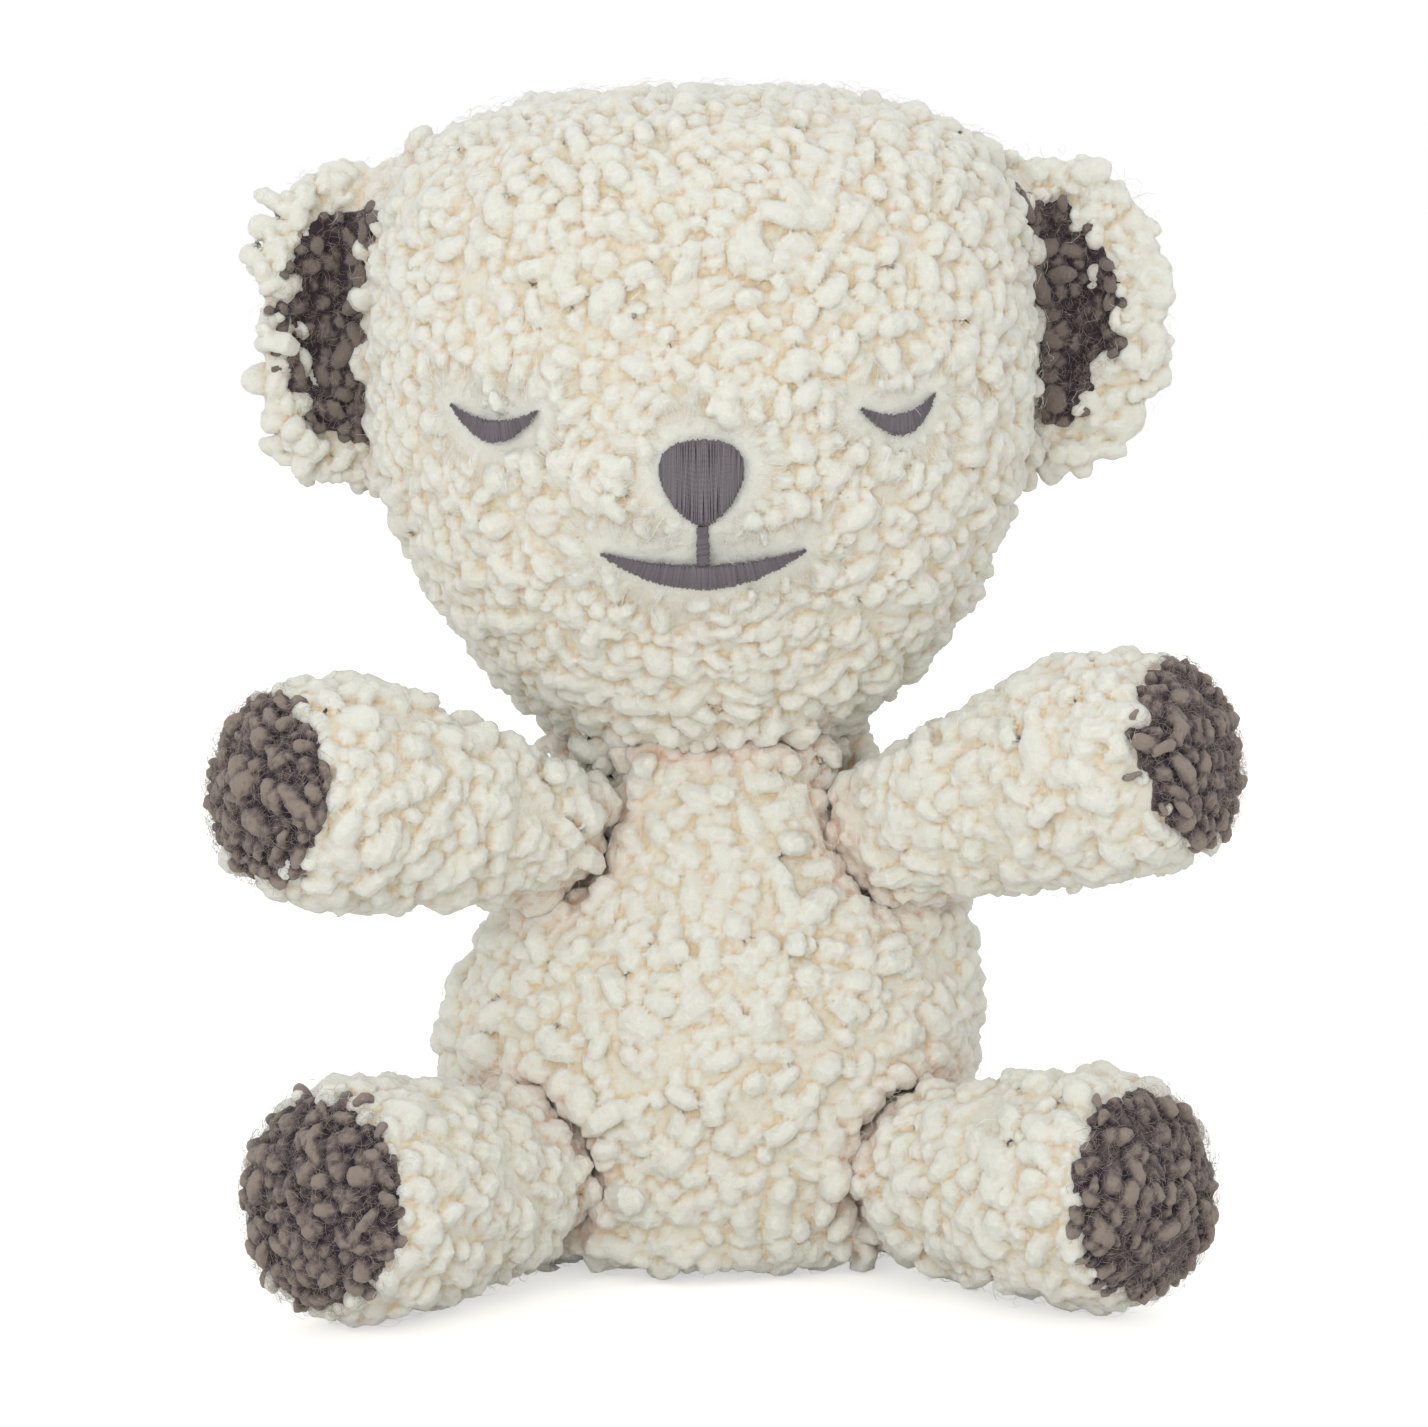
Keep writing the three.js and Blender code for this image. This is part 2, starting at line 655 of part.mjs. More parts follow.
function head() {
  const group = new THREE.Group();
  group.position.copy(neckPivot);
  const socket = ball(V3(), NECK_RADIUS + JOINT_GAP);
  const seat = headSolid(FLEECE, PLAIN).subtract(
    headSolid(-THREAD_DEPTH - THREAD_THICKNESS - SEAM_GAP, FINE),
  );
  const pockets = stitched.map((shape) => throughFace(shape, SEAM_GAP).intersect(seat));
  const skin = curledHead().subtract(headSolid(-FLEECE, PLAIN)).subtract(socket);
  const fill = headSolid(-FLEECE - FILL_GAP, PLAIN).subtract(socket);
  group.add(meshOf("head_cover", cutBy(skin, pockets), creamFleece));
  group.add(meshOf("head_stuffing", fill, fibre));
  const layer = headSolid(-THREAD_DEPTH, FINE).subtract(
    headSolid(-THREAD_DEPTH - THREAD_THICKNESS, FINE),
  );
  for (const shape of stitched) {
    group.add(meshOf(shape.name, throughFace(shape, 0).intersect(layer), thread));
  }
  EARS.forEach((placed) => group.add(ear(placed)));
  return group;
}

const bear = new THREE.Group();
bear.add(torso(), neck(), head());
ARMS.forEach((placed) => bear.add(arm(placed)));
LEGS.forEach((placed) => bear.add(leg(placed)));

// The origin lies under the middle of the whole bear, from its back to its paws.
bear.updateMatrixWorld(true);
const middle = new THREE.Box3().setFromObject(bear, true).getCenter(V3());
bear.position.set(-middle.x, -middle.y, 0);

export default bear;
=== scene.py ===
# %% [markdown]
# # A seated plush bear in curly fleece
#
# The bear is a sewn toy: head, torso, arms, legs and ears, each a cover of curly fleece round its
# own stuffing. The face is embroidered, and the paws, soles and inner ears are a second, taupe
# fleece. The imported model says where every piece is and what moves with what, so this script only
# makes the surfaces: the backing, its curls, the fine loose fibres and the threads. Everything is in
# metres, with Z up, and the bear faces -Y.

# %% Load the frame
import json
import math
from collections import namedtuple

import bpy
import numpy as np
from mathutils import Matrix, Vector
from mathutils.bvhtree import BVHTree
from mathutils.kdtree import KDTree

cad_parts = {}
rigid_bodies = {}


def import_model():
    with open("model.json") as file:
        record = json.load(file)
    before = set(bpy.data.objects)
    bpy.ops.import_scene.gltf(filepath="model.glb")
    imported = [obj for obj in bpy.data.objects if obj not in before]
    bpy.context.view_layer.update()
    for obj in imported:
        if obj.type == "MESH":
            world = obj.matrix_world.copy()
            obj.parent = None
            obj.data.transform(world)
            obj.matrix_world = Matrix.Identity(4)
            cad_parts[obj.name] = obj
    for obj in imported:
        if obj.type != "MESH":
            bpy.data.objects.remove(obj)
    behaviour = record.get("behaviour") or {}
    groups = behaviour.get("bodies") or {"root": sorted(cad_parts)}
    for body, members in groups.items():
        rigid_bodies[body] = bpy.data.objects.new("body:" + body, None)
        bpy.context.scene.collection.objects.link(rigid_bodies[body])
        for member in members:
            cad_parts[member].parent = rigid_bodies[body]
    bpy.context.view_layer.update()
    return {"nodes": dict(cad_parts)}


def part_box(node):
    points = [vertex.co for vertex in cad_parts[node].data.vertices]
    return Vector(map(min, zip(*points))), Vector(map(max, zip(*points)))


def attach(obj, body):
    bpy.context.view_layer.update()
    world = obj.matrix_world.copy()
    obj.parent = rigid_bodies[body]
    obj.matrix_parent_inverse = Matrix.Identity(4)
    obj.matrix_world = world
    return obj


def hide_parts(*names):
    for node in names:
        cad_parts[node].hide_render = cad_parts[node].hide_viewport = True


for leftover in list(bpy.data.objects):
    bpy.data.objects.remove(leftover)
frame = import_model()
nodes = frame["nodes"]
MM = 0.001
chance = np.random.default_rng(7)

# %% [markdown]
# ## Shader maths as Python
#
# A material is a graph of nodes, and writing it link by link hides what it does. One class gives a
# node's output Python's operators, so a mask reads as an expression. A second class makes the
# material and its nodes. Only what changes over the surface is linked, and numbers that are the same
# everywhere are set on the shader's own sockets.


# %% A socket that takes part in expressions
class Value:
    def __init__(self, finish, socket):
        self.finish = finish
        self.socket = socket

    def maths(self, operation, *others):
        return self.finish.node("ShaderNodeMath", {"operation": operation}, self, *others)

    def __add__(self, other):
        return self.maths("ADD", other)

    def __sub__(self, other):
        return self.maths("SUBTRACT", other)

    def __mul__(self, other):
        return self.maths("MULTIPLY", other)

    def between(self, low, high):
        """0 below low, 1 above high, and a straight rise between them."""
        settings = {"clamp": True, "interpolation_type": "LINEAR"}
        return self.finish.node("ShaderNodeMapRange", settings, self, low, high, 0.0, 1.0)


# %% A material that makes its own nodes
class Finish:
    def __init__(self, name, **constants):
        self.material = bpy.data.materials.new(name)
        self.material.use_nodes = True
        self.nodes = self.material.node_tree.nodes
        self.links = self.material.node_tree.links
        self.shader = self.nodes["Principled BSDF"]
        for socket, number in constants.items():
            self.shader.inputs[socket.replace("_", " ")].default_value = number

    def plug(self, socket, value):
        if isinstance(value, Value):
            self.links.new(value.socket, socket)
        elif isinstance(value, tuple) and socket.type == "RGBA":
            socket.default_value = (*value, 1.0)
        else:
            socket.default_value = value

    def node(self, kind, settings=None, *values, output=0, **named):
        """Makes a node, sets it up, fills its sockets and returns one of its outputs."""
        made = self.nodes.new(kind)
        for setting, choice in (settings or {}).items():
            setattr(made, setting, choice)
        for place, value in enumerate(values):
            self.plug(made.inputs[place], value)
        for socket, value in named.items():
            self.plug(made.inputs[socket.replace("_", " ")], value)
        return Value(self, made.outputs[output])

    def mix(self, share, low, high):
        """Mixes two colours."""
        made = self.nodes.new("ShaderNodeMix")
        made.data_type = "RGBA"
        self.plug(made.inputs["Factor"], share)
        self.plug(made.inputs[6], low)
        self.plug(made.inputs[7], high)
        return Value(self, made.outputs[2])

    def set(self, **sockets):
        for socket, value in sockets.items():
            self.plug(self.shader.inputs[socket.replace("_", " ")], value)

    def bump(self, height, distance, strength):
        self.set(Normal=self.node("ShaderNodeBump", None, Height=height, Distance=distance,
                                  Strength=strength))


def colour(red, green, blue):
    """A colour given in screen values, from 0 to 255, as the shader's linear numbers."""
    def linear(level):
        share = level / 255
        return share / 12.92 if share <= 0.04045 else ((share + 0.055) / 1.055) ** 2.4
    return tuple(linear(level) for level in (red, green, blue))


# %% [markdown]
# ## The closed forms under the fleece
#
# Each packed cover is a shell of coarse facets with pockets in it. The fleece has to stand on one
# smooth closed surface, so a fine quad ball is laid round each cover with its pads and stuffing, and
# its points are moved in until they touch them. A voxel remesh makes the quads even, and a Smooth
# modifier rounds the creases, as stuffed cloth does.

# %% Wrap a quad ball round some nodes
GRAIN = 4.2 * MM


def only(obj):
    """Makes one object the active and the only selected one."""
    bpy.ops.object.select_all(action="DESELECT")
    obj.select_set(True)
    bpy.context.view_layer.objects.active = obj
    return obj


def modified(obj, kind, **settings):
    """Adds a modifier and applies it."""
    only(obj)
    modifier = obj.modifiers.new(kind.title(), kind)
    for setting, choice in settings.items():
        setattr(modifier, setting, choice)
    bpy.ops.object.modifier_apply(modifier=modifier.name)
    return obj


def read(items, field, width=1, kind=float):
    """One field of all of a mesh's points, faces or corners, as an array."""
    numbers = np.empty(len(items) * width, kind)
    items.foreach_get(field, numbers)
    return numbers.reshape(-1, width) if width > 1 else numbers


def points_of(mesh):
    return read(mesh.vertices, "co", 3)


def normals_of(mesh):
    return np.array([corner.vector for corner in mesh.vertex_normals])


def move_points(mesh, places):
    mesh.vertices.foreach_set("co", np.ascontiguousarray(places).ravel())
    mesh.update()


def tree_of(*names):
    """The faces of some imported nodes, as one tree that finds the nearest of them."""
    corners, faces = [], []
    for name in names:
        mesh = nodes[name].data
        first = len(corners)
        corners += [corner.co.copy() for corner in mesh.vertices]
        faces += [[first + i for i in face.vertices] for face in mesh.polygons]
    return BVHTree.FromPolygons(corners, faces)


SPOT, FACE, DISTANCE = 0, 2, 3


def nearest(tree, places, part=DISTANCE):
    """The spot, face number or distance of what is nearest to each place."""
    return np.array([tree.find_nearest(place)[part] for place in places])


def wrapped(name, *names, detail=34, grain=GRAIN, rounds=4):
    """One closed quad form round some nodes."""
    boxes = np.array([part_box(name) for name in names])
    low, high = Vector(boxes[:, 0].min(0)), Vector(boxes[:, 1].max(0))
    centre, half = (low + high) / 2, (high - low) / 2
    tree = tree_of(*names)
    bpy.ops.mesh.primitive_cube_add(size=2)
    form = bpy.context.object
    form.name = name
    bpy.ops.object.mode_set(mode="EDIT")
    bpy.ops.mesh.subdivide(number_cuts=detail)
    bpy.ops.object.mode_set(mode="OBJECT")
    for corner in form.data.vertices:
        out = (corner.co.normalized() * half).normalized()
        hit = tree.ray_cast(centre + out * half.length * 2, -out)[0]
        corner.co = hit or centre + out * half.length / 2
    only(form)
    form.data.remesh_voxel_size = grain
    bpy.ops.object.voxel_remesh()
    modified(form, "SMOOTH", factor=0.5, iterations=rounds)
    return form


LIMBS = {"left_arm": "left_paw_pad", "right_arm": "right_paw_pad",
         "left_leg": "left_foot_pad", "right_leg": "right_foot_pad"}
forms = {"torso": wrapped("torso_form", "torso_cover", "torso_stuffing"),
         "head": wrapped("head_form", "head_cover", "head_stuffing", "nose_embroidery",
                         "mouth_embroidery", "left_eye_embroidery", "right_eye_embroidery")}
for side in ("left", "right"):
    forms[f"{side}_ear"] = wrapped(f"{side}_ear_form", f"{side}_ear_flap", f"{side}_ear_lining",
                                   grain=2.4 * MM, rounds=2)
forms["neck"] = wrapped("neck_form", "neck_stuffing", detail=16)
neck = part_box("neck_stuffing")
neck_middle = (neck[0] + neck[1]) / 2
NECK_ROLL = (33 * MM, 27 * MM, 13 * MM)
NECK_DROP = Vector((0, 0, -2 * MM))
for corner in forms["neck"].data.vertices:
    out = (corner.co - neck_middle).normalized()
    corner.co = neck_middle + NECK_DROP + Vector(out[k] * NECK_ROLL[k] for k in range(3))
for limb, pad in LIMBS.items():
    forms[limb] = wrapped(f"{limb}_form", f"{limb}_cover", pad, f"{limb}_stuffing")


def smooth(low, high, numbers):
    """0 at low, 1 at high, and a soft rise between them."""
    share = np.clip((numbers - low) / (high - low), 0, 1)
    return share * share * (3 - 2 * share)


# %% [markdown]
# A stuffed cover bulges between its seams and dips along them. Cloth simulation gives that: each
# form starts slightly smaller, air pressure blows it up, and the points along a seam are held. No
# point ends up further than a limit from where it was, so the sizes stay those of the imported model.

# %% Blow the forms up with cloth simulation
FRAMES = 20
SMALLER = 1 * MM
MOST = 1.6 * MM
SEAM_EVENNESS = 1.2 * MM
SEAM_DEPTH = 3 * MM


def seam_points(places, names):
    """The points that lie about as near to the cover as to the pad sewn into it."""
    cover, pad = (nearest(tree_of(name), places) for name in names)
    return np.flatnonzero((abs(cover - pad) < SEAM_EVENNESS) & (cover < SEAM_DEPTH))


def inflate(pads):
    """Blows up all forms at once. For a limb, pads names the two nodes that its seam joins."""
    before = {name: points_of(form.data) for name, form in forms.items()}
    for name, form in forms.items():
        mesh = form.data
        held = form.vertex_groups.new(name="seam")
        if name in pads:
            held.add(seam_points(before[name], pads[name]).tolist(), 1.0, "REPLACE")
        move_points(mesh, before[name] - normals_of(mesh) * SMALLER)
        cloth = form.modifiers.new("Cloth", "CLOTH")
        cloth.settings.use_pressure = True
        cloth.settings.uniform_pressure_force = 4
        cloth.settings.quality = 4
        cloth.settings.vertex_group_mass = "seam"
        cloth.settings.effector_weights.gravity = 0
        cloth.point_cache.frame_end = FRAMES
    for step in range(1, FRAMES + 1):
        bpy.context.scene.frame_set(step)
    for name, form in forms.items():
        only(form)
        bpy.ops.object.modifier_apply(modifier="Cloth")
        moved = points_of(form.data) - before[name]
        length = np.linalg.norm(moved, axis=1, keepdims=True)
        after = before[name] + moved * np.minimum(1, MOST / np.maximum(length, 1e-9))
        after[:, 2] = np.maximum(after[:, 2], before[name][:, 2].min())
        move_points(form.data, after)
        if not name.endswith("ear"):
            modified(form, "SMOOTH", factor=0.5, iterations=3)
    bpy.context.scene.frame_set(1)


# Ears reach in behind the cheeks, where the side seam of the head holds them
EAR_ROOT = 10 * MM
for side in ("left", "right"):
    mesh = forms[f"{side}_ear"].data
    places = points_of(mesh)
    out = abs(places[:, 0])
    near_root = 1 - smooth(out.min(), out.min() + 20 * MM, out)
    places[:, 0] -= np.sign(places[:, 0]) * EAR_ROOT * near_root
    move_points(mesh, places)

# The torso reaches up to the chin all round the neck
TORSO_RISE = 7 * MM
mesh = forms["torso"].data
places = points_of(mesh)
top = places[:, 2].max()
places[:, 2] += TORSO_RISE * smooth(top - 26 * MM, top - 2 * MM, places[:, 2])
move_points(mesh, places)

inflate({limb: (f"{limb}_cover", pad) for limb, pad in LIMBS.items()})


# %% Fuller shoulders, pushed up by the stuffing towards the cheeks
SHOULDER_LIFT = {"left_arm": 4 * MM, "right_arm": 2 * MM}
for name, lift in SHOULDER_LIFT.items():
    mesh = forms[name].data
    places, facing = points_of(mesh), normals_of(mesh)
    out = abs(places[:, 0])
    near_root = smooth(out.min(), out.min() + 20 * MM, out)
    near_root = near_root * (1 - smooth(out.min() + 35 * MM, out.min() + 75 * MM, out))
    places[:, 2] += lift * near_root * np.clip(facing[:, 2], 0, 1)
    move_points(mesh, places)


# %% [markdown]
# ## One curl
#
# Curly fleece is not fur: its fibres are wound into short fat locks, about 6 mm wide, that bend over
# and end in a round nub. Hair would make a smooth coat, and a bumpy texture would stay flat at the
# outline, so each lock is real geometry. A few locks are modelled straight, ring by ring, then
# twisted and bent with Simple Deform. Their section is oval, so that the twist shows.

# %% Model a straight lock, then bend it
SIDES = 8
ROOT_WIDTH = 0.62
TIP_WIDTH = 0.2
ROOT_DEPTH = 0.06
SAME_LEVEL = 0.01 * MM
# How far along the lock each ring lies, and how wide it is there, as shares of the whole.
CLUB = [(0.14, 0.90), (0.40, 1.03), (0.68, 1.02), (0.90, 0.72)]
NUB = [(0.22, 0.95), (0.6, 1.03), (0.88, 0.72)]
WISP = [(0.35, 0.9), (0.7, 0.7)]


def merge_level(lock, level):
    """Merges the points near a level into one."""
    bpy.ops.object.mode_set(mode="OBJECT")
    for corner in lock.data.vertices:
        corner.select = abs(corner.co.z - level) < SAME_LEVEL
    bpy.ops.object.mode_set(mode="EDIT")
    bpy.ops.mesh.merge(type="CENTER")


def straight_lock(length, width, rings, sides, oval):
    """Extrudes a circle ring by ring and closes it at the tip and just below the root."""
    bpy.ops.mesh.primitive_circle_add(vertices=sides, radius=width * ROOT_WIDTH / 2)
    lock = bpy.context.object
    bpy.ops.object.mode_set(mode="EDIT")
    bpy.ops.mesh.select_mode(type="VERT")
    at, size = 0.0, ROOT_WIDTH
    for share, broad in [*rings, (1.0, TIP_WIDTH)]:
        bpy.ops.mesh.extrude_region_move(
            TRANSFORM_OT_translate={"value": (0, 0, (share - at) * length)})
        bpy.ops.transform.resize(value=(broad / size, broad / size, 1))
        at, size = share, broad
    merge_level(lock, length)
    bpy.ops.object.mode_set(mode="OBJECT")
    for corner in lock.data.vertices:
        corner.select = abs(corner.co.z) < SAME_LEVEL
    bpy.ops.object.mode_set(mode="EDIT")
    bpy.ops.mesh.extrude_region_move(
        TRANSFORM_OT_translate={"value": (0, 0, -ROOT_DEPTH * length)})
    merge_level(lock, -ROOT_DEPTH * length)
    bpy.ops.mesh.select_all(action="SELECT")
    bpy.ops.mesh.normals_make_consistent(inside=False)
    bpy.ops.transform.resize(value=(1 + oval, 1 - oval, 1), center_override=(0, 0, 0))
    bpy.ops.object.mode_set(mode="OBJECT")
    return lock


def round_and_along(lock, length):
    """For each face corner, how far round the lock it lies and how far along, from 0 to 1."""
    mesh = lock.data
    places = points_of(mesh)
    result = np.zeros((len(mesh.loops), 2))
    for face in mesh.polygons:
        corners = places[list(face.vertices)]
        turn = np.arctan2(corners[:, 1], corners[:, 0]) / (2 * math.pi) + 0.5
        on_axis = np.hypot(corners[:, 0], corners[:, 1]) < 1e-6
        rest = turn[~on_axis]
        rest = np.where(rest.max() - rest > 0.5, rest + 1, rest)
        turn[~on_axis] = rest
        turn[on_axis] = rest.mean()
        result[list(face.loop_indices), 0] = np.clip(turn, 0, 1)
        result[list(face.loop_indices), 1] = np.clip(corners[:, 2] / length, 0, 1)
    return result


# %% [markdown]
# A lock is copied thousands of times into one mesh, so it is read once into arrays, and each copy is
# those arrays turned, scaled and moved. `Stamp` holds what a copy needs.

# %% Keep a finished shape as arrays
class Stamp:
    def __init__(self, length, width, bend, twist, rings=CLUB, sides=SIDES, oval=0.12):
        shape = straight_lock(length * MM, width * MM, rings, sides, oval)
        self.wrap = round_and_along(shape, length * MM)
        modified(shape, "SIMPLE_DEFORM", deform_method="TWIST", deform_axis="Z",
                 angle=math.radians(twist))
        modified(shape, "SIMPLE_DEFORM", deform_method="BEND", deform_axis="Y",
                 angle=math.radians(bend))
        self.points = points_of(shape.data)
        self.corners = read(shape.data.loops, "vertex_index", kind=int)
        self.starts = read(shape.data.polygons, "loop_start", kind=int)
        bpy.data.objects.remove(shape)


# Length and width in millimetres, then how far each bends over and twists, in degrees
LOCKS = [Stamp(*shape) for shape in (
    (8.5, 5.6, 70, 70), (10, 5.4, 110, 100), (7.0, 6.0, 45, 40), (13, 4.5, 210, 120),
    (9, 5.5, 90, -80), (7.5, 5.1, 60, -60), (11, 4.9, 150, -110))]
NUBS = [Stamp(*shape, NUB, 6) for shape in ((5.5, 5.2, 40, 60), (6.5, 4.6, 80, 60))]
RINGLETS = [Stamp(*shape) for shape in (
    (13, 3.0, 300, 90), (11, 3.3, 240, -80), (8.5, 4.2, 110, 70), (7, 4.8, 70, 40),
    (6, 5.2, 40, 60))]
SHORT_RINGLETS = RINGLETS[2:]
FIBRES = [Stamp(*shape, 0, WISP, 3, 0) for shape in ((8, 0.16, 110), (10, 0.15, 170), (6, 0.17, 60))]
COMBED = [Stamp(*shape, 0, WISP[:1], 3, 0) for shape in ((7, 0.16, 25), (9, 0.15, 40))]


# %% [markdown]
# ## Even but not regular: where the curls stand
#
# Points thrown at random clump, and a grid shows as rows. So many points are thrown, and each one
# that is kept removes its neighbours within the spacing.

# %% Scatter places over a form
def unit(vectors):
    return vectors / np.maximum(np.linalg.norm(vectors, axis=-1, keepdims=True), 1e-9)


def thrown(form, per_area):
    """Random places on a form, with the surface's smooth normals there."""
    mesh = form.data
    mesh.calc_loop_triangles()
    corners, normals = points_of(mesh), normals_of(mesh)
    triangles = read(mesh.loop_triangles, "vertices", 3, int)
    a, b, c = (corners[triangles[:, k]] for k in range(3))
    areas = np.linalg.norm(np.cross(b - a, c - a), axis=1) / 2
    count = int(areas.sum() * per_area)
    picked = chance.choice(len(triangles), count, p=areas / areas.sum())
    first, second = np.sqrt(chance.random(count)), chance.random(count)
    shares = np.stack([1 - first, first * (1 - second), first * second], axis=1)
    places = np.einsum("ij,ijk->ik", shares, corners[triangles[picked]])
    return places, unit(np.einsum("ij,ijk->ik", shares, normals[triangles[picked]]))


def scattered(form, spacing, crowd=14):
    """Places on a form, no two of them nearer to each other than the spacing."""
    places, facing = thrown(form, crowd / spacing**2)
    near = KDTree(len(places))
    for i, place in enumerate(places):
        near.insert(place, i)
    near.balance()
    free = np.ones(len(places), bool)
    kept = []
    for i, place in enumerate(places):
        if free[i]:
            kept.append(i)
            for _, j, _ in near.find_range(place, spacing):
                free[j] = False
    return places[kept], facing[kept]


# %% [markdown]
# ## Stamping the locks into one mesh
#
# All the curls of a cover are one piece, as on the real cloth, and each copy gets its own turn and
# size. Fibres and threads also get a tint each, from a small palette: the UV map `OFBake` is divided
# into cells, a copy takes one cell, and inside it U runs round the copy and V from root to tip. The
# material reads a second map with the same numbers.

# %% Build a piece from many stamps
CELLS = 6
CELL_EDGE = 0.04
PRESS = 0.9 * MM
FREE = 8 * PRESS


def pressed(points):
    """Flattens what would reach into the ground, the harder the deeper it lies."""
    heights = np.minimum(points[:, 2], FREE)
    flat = PRESS * np.log1p(np.exp(heights / PRESS))
    points[:, 2] = np.where(points[:, 2] > FREE, points[:, 2], flat)
    return points


class Pile:
    """Copies of stamps that become one piece."""

    def __init__(self):
        self.points, self.corners, self.starts, self.maps = [], [], [], []
        self.point_count, self.corner_count = 0, 0

    def add(self, stamps, which, places, axes, sizes, cells, facing, tops):
        """Adds copies, each moved along the normal until its highest point is at its top."""
        for number, stamp in enumerate(stamps):
            mine = np.flatnonzero(which == number)
            turned = axes[mine] * sizes[mine][:, :, None]
            copies = np.einsum("vk,nkj->nvj", stamp.points, turned)
            rise = np.einsum("nvj,nj->nv", copies, facing[mine]).max(1)
            lift = (tops[mine] - rise)[:, None] * facing[mine]
            copies = copies + (places[mine] + lift)[:, None]
            order = np.arange(len(mine))[:, None]
            self.points.append(copies.reshape(-1, 3))
            self.corners.append((stamp.corners + order * len(stamp.points)).ravel()
                                + self.point_count)
            self.starts.append((stamp.starts + order * len(stamp.corners)).ravel()
                               + self.corner_count)
            inside = CELL_EDGE + (1 - 2 * CELL_EDGE) * stamp.wrap
            self.maps.append(((inside[None] + cells[mine][:, None]) / CELLS).reshape(-1, 2))
            self.point_count += len(mine) * len(stamp.points)
            self.corner_count += len(mine) * len(stamp.corners)

    def lay(self, path, width, out, cell, sides=6):
        """Adds a thread along a path that lies on the cloth. out points away from the cloth."""
        path = np.array(path)
        ahead = unit(np.gradient(path, axis=0))
        side = unit(np.cross(ahead, out))
        up = np.cross(side, ahead)
        turn = np.arange(sides) * 2 * math.pi / sides
        ring = (np.cos(turn)[None, :, None] * side[:, None]
                + np.sin(turn)[None, :, None] * up[:, None])
        self.points.append((path[:, None] + ring * width / 2).reshape(-1, 3))
        last = len(path) - 1
        i, j = np.meshgrid(np.arange(last), np.arange(sides), indexing="ij")
        rows = np.stack([i, i, i + 1, i + 1], axis=2).ravel()
        columns = np.stack([j, j + 1, j + 1, j], axis=2).ravel()
        cap = np.arange(sides)
        corners = np.concatenate([rows * sides + columns % sides, cap[::-1], cap + last * sides])
        self.corners.append(corners + self.point_count)
        starts = np.append(np.arange(0, len(rows), 4), [len(rows), len(rows) + sides])
        self.starts.append(starts + self.corner_count)
        wrap = np.stack([np.append(columns / sides, np.full(2 * sides, 0.5)),
                         np.concatenate([rows / last, cap * 0, cap * 0 + 1])], axis=1)
        inside = CELL_EDGE + (1 - 2 * CELL_EDGE) * wrap
        self.maps.append((inside + np.array(cell)) / CELLS)
        self.point_count += len(path) * sides
        self.corner_count += len(corners)

    def piece(self, name, material):
        """Makes the object that holds all the copies."""
        mesh = bpy.data.meshes.new(name)
        mesh.vertices.add(self.point_count)
        mesh.vertices.foreach_set("co", pressed(np.concatenate(self.points)).ravel())
        mesh.loops.add(self.corner_count)
        mesh.loops.foreach_set("vertex_index", np.concatenate(self.corners))
        starts = np.concatenate(self.starts)
        mesh.polygons.add(len(starts))
        mesh.polygons.foreach_set("loop_start", starts)
        mesh.polygons.foreach_set("use_smooth", np.ones(len(starts), bool))
        mesh.update(calc_edges=True)
        for map_name in ("OFBake", "curl"):
            layer = mesh.uv_layers.new(name=map_name)
            layer.data.foreach_set("uv", np.concatenate(self.maps).ravel())
        mesh.validate()
        mesh.materials.append(material)
        piece = bpy.data.objects.new(name, mesh)
        bpy.context.scene.collection.objects.link(piece)
        return piece


# %% [markdown]
# ## Which way the curls lie
#
# Neighbouring locks lean much the same way, and the whole coat hangs a little. A sum of slow waves
# gives such a drift, and chance does the rest.

# %% Lean and turn each lock
WAVES = unit(chance.normal(size=(6, 3))) * 2 * math.pi / (34 * MM)
WAVE_STARTS = chance.uniform(0, 2 * math.pi, (6, 3))


def drift(places):
    """A direction that changes slowly from place to place."""
    phases = places @ WAVES.T
    return unit(np.stack([np.sin(phases + WAVE_STARTS[:, k]).sum(1) for k in range(3)], axis=1))


def leaning_axes(facing, towards, lean, roll):
    """Axes of locks that stand on the surface, lean over by an angle and bend the same way."""
    towards = unit(towards - (towards * facing).sum(1, keepdims=True) * facing)
    up = facing * np.cos(lean)[:, None] + towards * np.sin(lean)[:, None]
    over = towards * np.cos(lean)[:, None] - facing * np.sin(lean)[:, None]
    side = np.cross(up, over)
    turned = over * np.cos(roll)[:, None] + side * np.sin(roll)[:, None]
    return np.stack([turned, np.cross(up, turned), up], axis=1)


# %% [markdown]
# ## Which fleece grows where
#
# A form carries two pieces where a pad or a lining is sewn into the cover, and a curl belongs to the
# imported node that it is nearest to. Curls that would stand inside a neighbouring form are left out,
# and those on the face get smaller and lean away where they meet the embroidery.

# %% Where curls may stand
FORM_SIZE = {"head": 1.05, "torso": 1.2, "left_ear": 0.98, "right_ear": 0.98, "neck": 1.1}
LIMB_SIZE = 1.22
PAD_SIZE = 0.85
PAD_SPREAD = 2.5 * MM
PAD_ROUNDS = 5
LINING_ROUNDS = 12
LINING_SPREAD = 9 * MM
LINING_SHIFT = {"left_ear_flap": 6.5 * MM}
STITCH_ROOM = 2.4 * MM
STITCH_REACH = 9 * MM
# How far from another form the painted shade of the creases reaches
CREASE = 10 * MM
BORDER = 5 * MM
# How strong that painted crease shade is on each form, and full where a form is not listed
CREASE_SHADE_STRENGTH = {"head": 0.35, "left_ear": 0.35, "right_ear": 0.35, "neck": 0.4}
CROSSING = 9 * MM
DEEP_INSIDE = 25 * MM
SQUEEZE = 4.8 * MM
SQUEEZE_REACH = 8 * MM
LOOK = Vector((0.21, 0.13, 0.97)).normalized()
STEP_PAST = 0.02 * MM
stitches = tree_of(*(name for name in nodes if name.endswith("_embroidery")))
form_trees = {name: BVHTree.FromObject(form, bpy.context.evaluated_depsgraph_get())
              for name, form in forms.items()}


